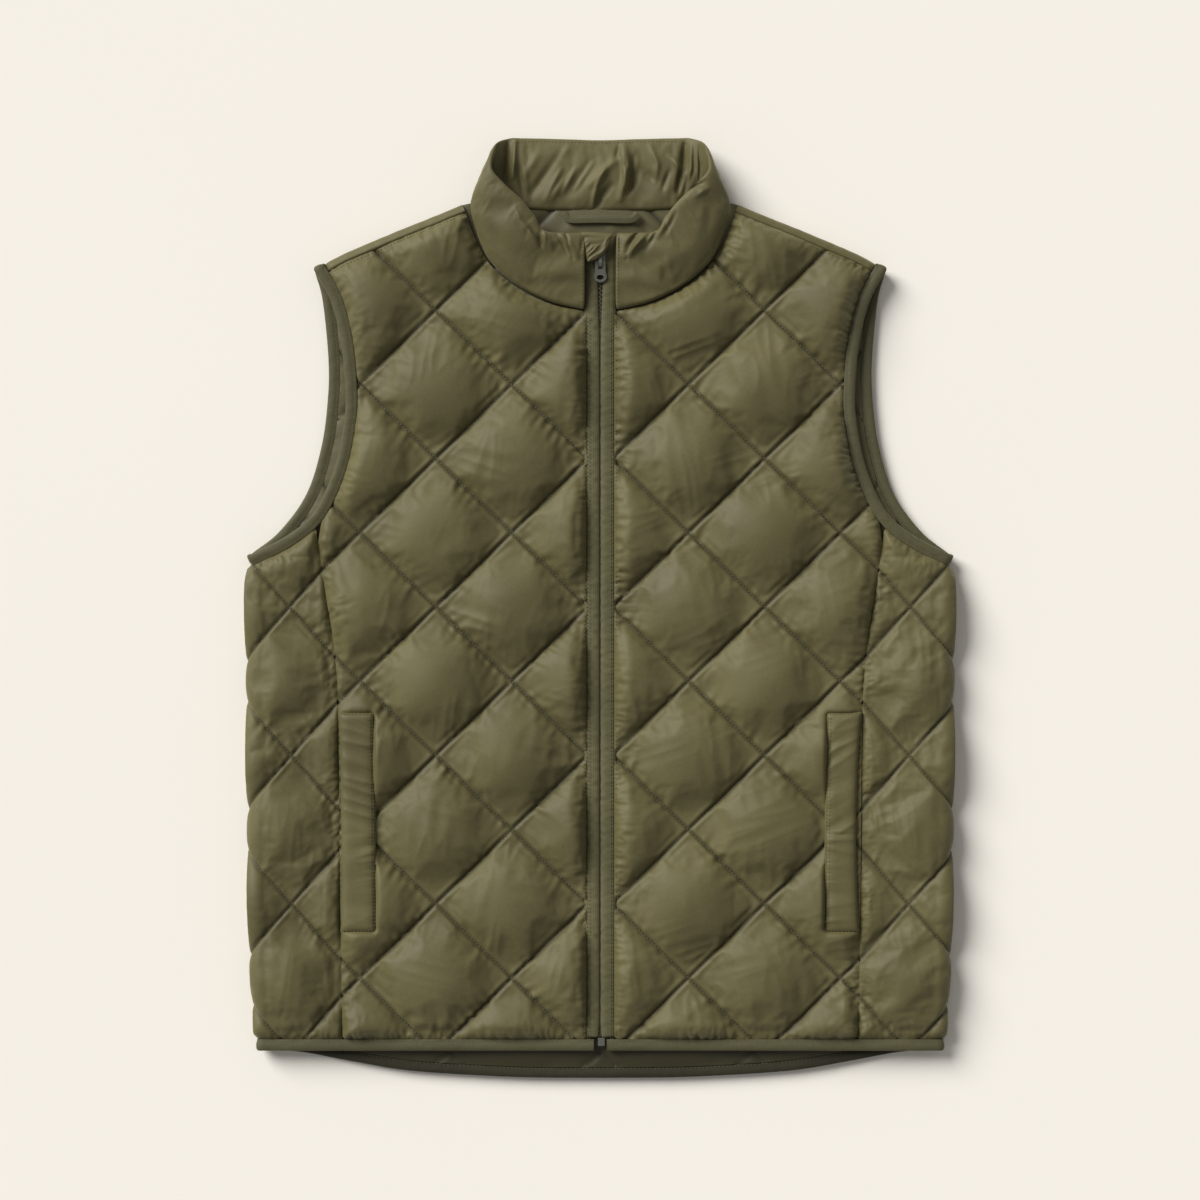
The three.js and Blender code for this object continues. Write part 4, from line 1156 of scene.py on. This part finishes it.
def make_hanger():
    """The hanger loop: a narrow folded tape, sagging between its two sewn ends."""
    ends = [(-28.5, 316.2), (-25.5, 312.6), (-21, 311.6), (0, 311.9), (21, 311.5), (26.5, 312.8), (30, 316.2)]
    line = curve(ends, 1.0)
    height = 13.1 + 0.9 * np.cos(np.linspace(-1.4, 1.4, len(line)))
    path = np.column_stack([line, height])
    inward = np.tile([0.0, 1.0, 0.0], (len(path), 1))
    section = [(-3, -0.45), (0, -0.6), (2.5, -0.5), (3.1, 0), (2.5, 0.7), (0, 0.95), (-3, 0.6)]
    points = tube_along(path, inward, section)
    piece = strip_piece("hanger_loop_tape", points, BINDING)
    dress(piece, "hanger_loop")


def make_tab():
    """The pull tab: its solid with every edge rounded."""
    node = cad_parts["pull_tab"]
    piece = bpy.data.objects.new("pull_tab_cast", node.data.copy())
    bpy.context.scene.collection.objects.link(piece)
    piece.data.materials.clear()
    piece.data.materials.append(METAL)
    weld = piece.modifiers.new("weld", "WELD")
    weld.merge_threshold = 0.00001
    bevel = piece.modifiers.new("round", "BEVEL")
    bevel.width = 0.0004
    bevel.segments = 3
    bevel.limit_method = "ANGLE"
    bevel.angle_limit = math.radians(40)
    apply_modifiers(piece)
    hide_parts("pull_tab")
    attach(piece, "pull_tab")


def surface_of(names):
    """A search tree over the pieces' surfaces."""
    points, faces = [], []
    for name in names:
        mesh = bpy.data.objects[name].data
        start = len(points)
        points += [vertex.co for vertex in mesh.vertices]
        faces += [tuple(start + k for k in face.vertices) for face in mesh.polygons]
    return BVHTree.FromPolygons(points, faces)


def lay_on(tree, lines, above):
    """Lays stitch lines on a surface, each point dropped straight down onto it."""
    laid = []
    down = Vector((0, 0, -1))
    for line, *rest in lines:
        line = spaced(line, 1.0)
        for point in line:
            hit = tree.ray_cast(Vector((point[0], point[1], 60.0)) * METRES, down)
            if hit[0] is not None:
                point[2] = hit[0].z / METRES + above
        laid.append((line, *rest))
    return laid


def stitch_mesh(name, lines):
    """Short six-sided stitches along each line: (points, stitch length, gap, thickness)."""
    points, faces = [], []
    turns = [math.pi / 3 * k for k in range(6)]
    total = 0
    for line, length, gap, thickness in lines:
        line = np.asarray(line, float)
        steps = np.linalg.norm(np.diff(line, axis=0), axis=1)
        at = np.concatenate([[0], np.cumsum(steps)])
        starts = np.arange(gap / 2, at[-1] - length, length + gap)
        for begin in starts:
            span = np.array([begin, begin + length * 0.3, begin + length * 0.7, begin + length])
            middle = np.stack([np.interp(span, at, line[:, k]) for k in range(3)], axis=1)
            along = middle[-1] - middle[0]
            along /= np.linalg.norm(along)
            across = np.cross(along, [0.0, 0.0, 1.0])
            across /= np.linalg.norm(across)
            above = np.cross(across, along)
            sizes = np.array([0.35, 1, 1, 0.35]) * thickness / 2
            sink = np.array([-0.5, 0.12, 0.12, -0.5]) * thickness
            for centre, size, depth in zip(middle, sizes, sink):
                for turn in turns:
                    rise = above * (depth + math.sin(turn) * size)
                    points.append(centre + rise + across * math.cos(turn) * size)
            for step in range(3):
                for k in range(6):
                    a = total + step * 6 + k
                    b = total + step * 6 + (k + 1) % 6
                    faces.append((a, b, b + 6, a + 6))
            total += 24
    piece = make_mesh(name, points, faces, THREAD)
    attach(piece, "vest")


def seam_runs(outline, skip=None):
    """The quilt seams inside an outline, as runs of plan points."""
    shares = np.arange(-9, 9, 0.02)
    runs = []
    for number in range(-9, 10):
        fixed = np.full(len(shares), float(number))
        for p, q in ((shares, fixed), (fixed, shares)):
            plan = lattice_point(p, q)
            shown = inside(plan, outline)
            if skip is not None:
                shown &= ~skip(plan[:, 0], plan[:, 1])
            kept = np.nonzero(shown)[0]
            for run in np.split(kept, np.nonzero(np.diff(kept) > 1)[0] + 1):
                if len(run) > 5:
                    runs.append(plan[run])
    return runs


def quilt_stitches():
    """Stitches along the quilt seams of the fronts and the sides."""
    flat, round_side = [], []
    for run in seam_runs(front_outline(), welt_area):
        line = at_height(run, SEAM_Z)
        flat += [(line * [sign, 1, 1], *QUILT_STITCH) for sign in (1, -1)]
    for run in seam_runs(side_outline()):
        arc = (run[:, 0] - princess_at(run[:, 1])) / SIDE_SPREAD
        out, height, _ = side_section(arc, run[:, 1])
        line = np.column_stack([out, run[:, 1], height])[height > SIDE_CENTRE_Z + 4]
        if len(line) > 5:
            round_side += [(line * [sign, 1, 1], *QUILT_STITCH) for sign in (1, -1)]
    fronts = surface_of(["front_left_quilt", "front_right_quilt"])
    sides = surface_of(["side_left_quilt", "side_right_quilt"])
    return lay_on(fronts, flat, QUILT_LIFT) + lay_on(sides, round_side, QUILT_LIFT)


def upright(out, ups):
    """A plan line straight up the vest."""
    return np.column_stack([ups * 0 + out, ups])


def edge_stitches():
    """Topstitching beside the zip, on the bindings, the collar's top edge and the welts."""
    lines, welts, fronts, tapes = [], [], [], []
    rise = BINDING_THICKNESS / 2 * 0.66
    front_top = FRONT_BINDING_Z + rise
    back_top = BACK_BINDING_Z + rise
    half_edge = [(70, 372.6), (60, 374.4), (30, 374.2)]
    top_edge = curve([(-out, up) for out, up in half_edge] + [(0, 373.4)] + half_edge[::-1])
    collar = [(at_height(top_edge, 0), *TOP_STITCH)]
    seam = sideways(front_armhole, -BINDING_WIDTH * 0.8)
    back_seam = sideways(back_armhole, -BINDING_WIDTH * 0.8)
    for sign in (1, -1):
        side = [sign, 1, 1]
        for shift in (0.0, 1.9):
            line = upright((ZIP_SEAM - 0.9 - shift) * sign, np.arange(HEM_EDGE + 8, 236, 4.0))
            tapes.append((at_height(line, TAPE_Z + 0.55), *TAPE_STITCH))
        lines.append((at_height(seam, front_top) * side, *EDGE_STITCH))
        lines.append((at_height(back_seam, back_top) * side, *EDGE_STITCH))
        hem = at_height(np.arange(ZIP_SEAM, 268, 4.0), HEM_EDGE + BINDING_WIDTH * 0.8)
        lines.append((at_height(hem, front_top) * side, *EDGE_STITCH))
        for shift in (1.2, 3.4):
            ups = np.arange(WELT["bottom"] + 1.5, WELT["top"] - 1, 4.0)
            out = princess_at(ups) - WELT_SHIFT - WELT["width"] + shift
            welts.append((at_height(upright(out * sign, ups), 0), *WELT_STITCH))
        for up in (WELT["top"] - 1.6, WELT["bottom"] + 1.6):
            edge = float(princess_at(up)) - WELT_SHIFT - WELT["width"]
            outs = np.linspace(1.5, WELT["width"] - 1.5, 12) + edge
            welts.append((at_height(at_height(outs * sign, up), 0), *WELT_STITCH))
        roll = sideways(shoulder_line, -SHOULDER_ROLL - 2.6)[3:-2]
        fronts.append((at_height(roll, 0) * side, *TOP_STITCH))
        zip_edge = upright((ZIP_SEAM + 1.3) * sign, np.arange(HEM_EDGE + 10, 236, 4.0))
        fronts.append((at_height(zip_edge, 0), *ZIP_STITCH))
        collar_end = upright(14.4 * sign, np.arange(244, 297, 4.0))
        collar.append((at_height(collar_end, 0), *TOP_STITCH))
    tail = sideways(tail_line, -BINDING_WIDTH * 0.8)
    both = np.vstack([tail[:-1] * [-1, 1], tail[::-1]])
    lines.append((at_height(both, back_top), *EDGE_STITCH))
    flap_edge = curve([(-8.2, 278.4), (-2.4, 281.2), (4.2, 287.6), (8.8, 297.6)])
    flap = [(at_height(flap_edge, 0), *FLAP_STITCH)]
    lines += lay_on(surface_of(["welt_left_strip", "welt_right_strip"]), welts, EDGE_LIFT)
    lines += lay_on(surface_of(["front_left_quilt", "front_right_quilt"]), fronts, EDGE_LIFT)
    lines += lay_on(surface_of(["collar_padded"]), collar, EDGE_LIFT)
    lines += lay_on(surface_of(["zip_tape_left_cloth", "zip_tape_right_cloth"]), tapes, TAPE_LIFT)
    lines += lay_on(surface_of(["zip_garage_flap"]), flap, EDGE_LIFT)
    return lines


def make_stage():
    """The pale floor, in metres."""
    mesh = bpy.data.meshes.new("floor")
    reach = 6.0
    corners = [(-reach, -reach, 0), (reach, -reach, 0), (reach, reach, 0), (-reach, reach, 0)]
    mesh.from_pydata(corners, [], [(0, 1, 2, 3)])
    floor = bpy.data.objects.new("floor", mesh)
    bpy.context.scene.collection.objects.link(floor)
    material, nodes, links, shader = new_material("floor")
    place = add_node(nodes, "ShaderNodeTexCoord")
    noise = add_node(nodes, "ShaderNodeTexNoise", Scale=2.0)
    links.new(place.outputs["Object"], noise.inputs["Vector"])
    ramp = add_node(nodes, "ShaderNodeValToRGB")
    ramp.color_ramp.elements[0].color = (0.86, 0.83, 0.775, 1)
    ramp.color_ramp.elements[1].color = (0.875, 0.845, 0.79, 1)
    links.new(noise.outputs["Fac"], ramp.inputs["Fac"])
    links.new(ramp.outputs["Color"], shader.inputs["Base Color"])
    shader.inputs["Roughness"].default_value = 0.9
    mesh.materials.append(material)


def make_lights():
    """A soft sun from the upper left, and an even pale room."""
    scene = bpy.context.scene
    world = bpy.data.worlds.new("studio")
    world.use_nodes = True
    world.node_tree.nodes["Background"].inputs["Color"].default_value = (1.0, 0.975, 0.95, 1)
    world.node_tree.nodes["Background"].inputs["Strength"].default_value = 0.30
    scene.world = world
    light = bpy.data.lights.new("window", "SUN")
    light.energy = 4.1
    light.angle = math.radians(36)
    light.color = (1.0, 0.985, 0.95)
    lamp = bpy.data.objects.new("window", light)
    lamp.rotation_euler = Vector((0.74, -0.67, -0.70)).to_track_quat("-Z", "Y").to_euler()
    scene.collection.objects.link(lamp)
    scene.view_settings.view_transform = "Standard"


def make_camera():
    """Straight above, with the photo's width of 960 mm across the vest."""
    camera = bpy.data.cameras.new("camera")
    camera.lens = 85
    camera.sensor_width = 36
    width, middle_z, middle_up = 0.96, 0.016, 0.0068
    holder = bpy.data.objects.new("camera", camera)
    holder.location = (-0.0002, middle_up, middle_z + width * camera.lens / camera.sensor_width)
    bpy.context.scene.collection.objects.link(holder)
    bpy.context.scene.camera = holder


make_camera()
make_stage()
make_lights()
for side, seed in ((1, 101), (-1, 202)):
    make_front(side, seed)
    make_side(side, seed + 10)
    make_armhole(side, seed + 20)
    make_welt(side)
make_back()
make_shoulders()
make_collar()
make_hems()
make_tapes()
make_garage()
make_hanger()
make_tab()
stitch_mesh("quilt_stitches", quilt_stitches())
stitch_mesh("edge_stitches", edge_stitches())
for name, material in (("zip_slider", METAL), ("zip_box", METAL)):
    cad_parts[name].data.materials.clear()
    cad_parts[name].data.materials.append(material)
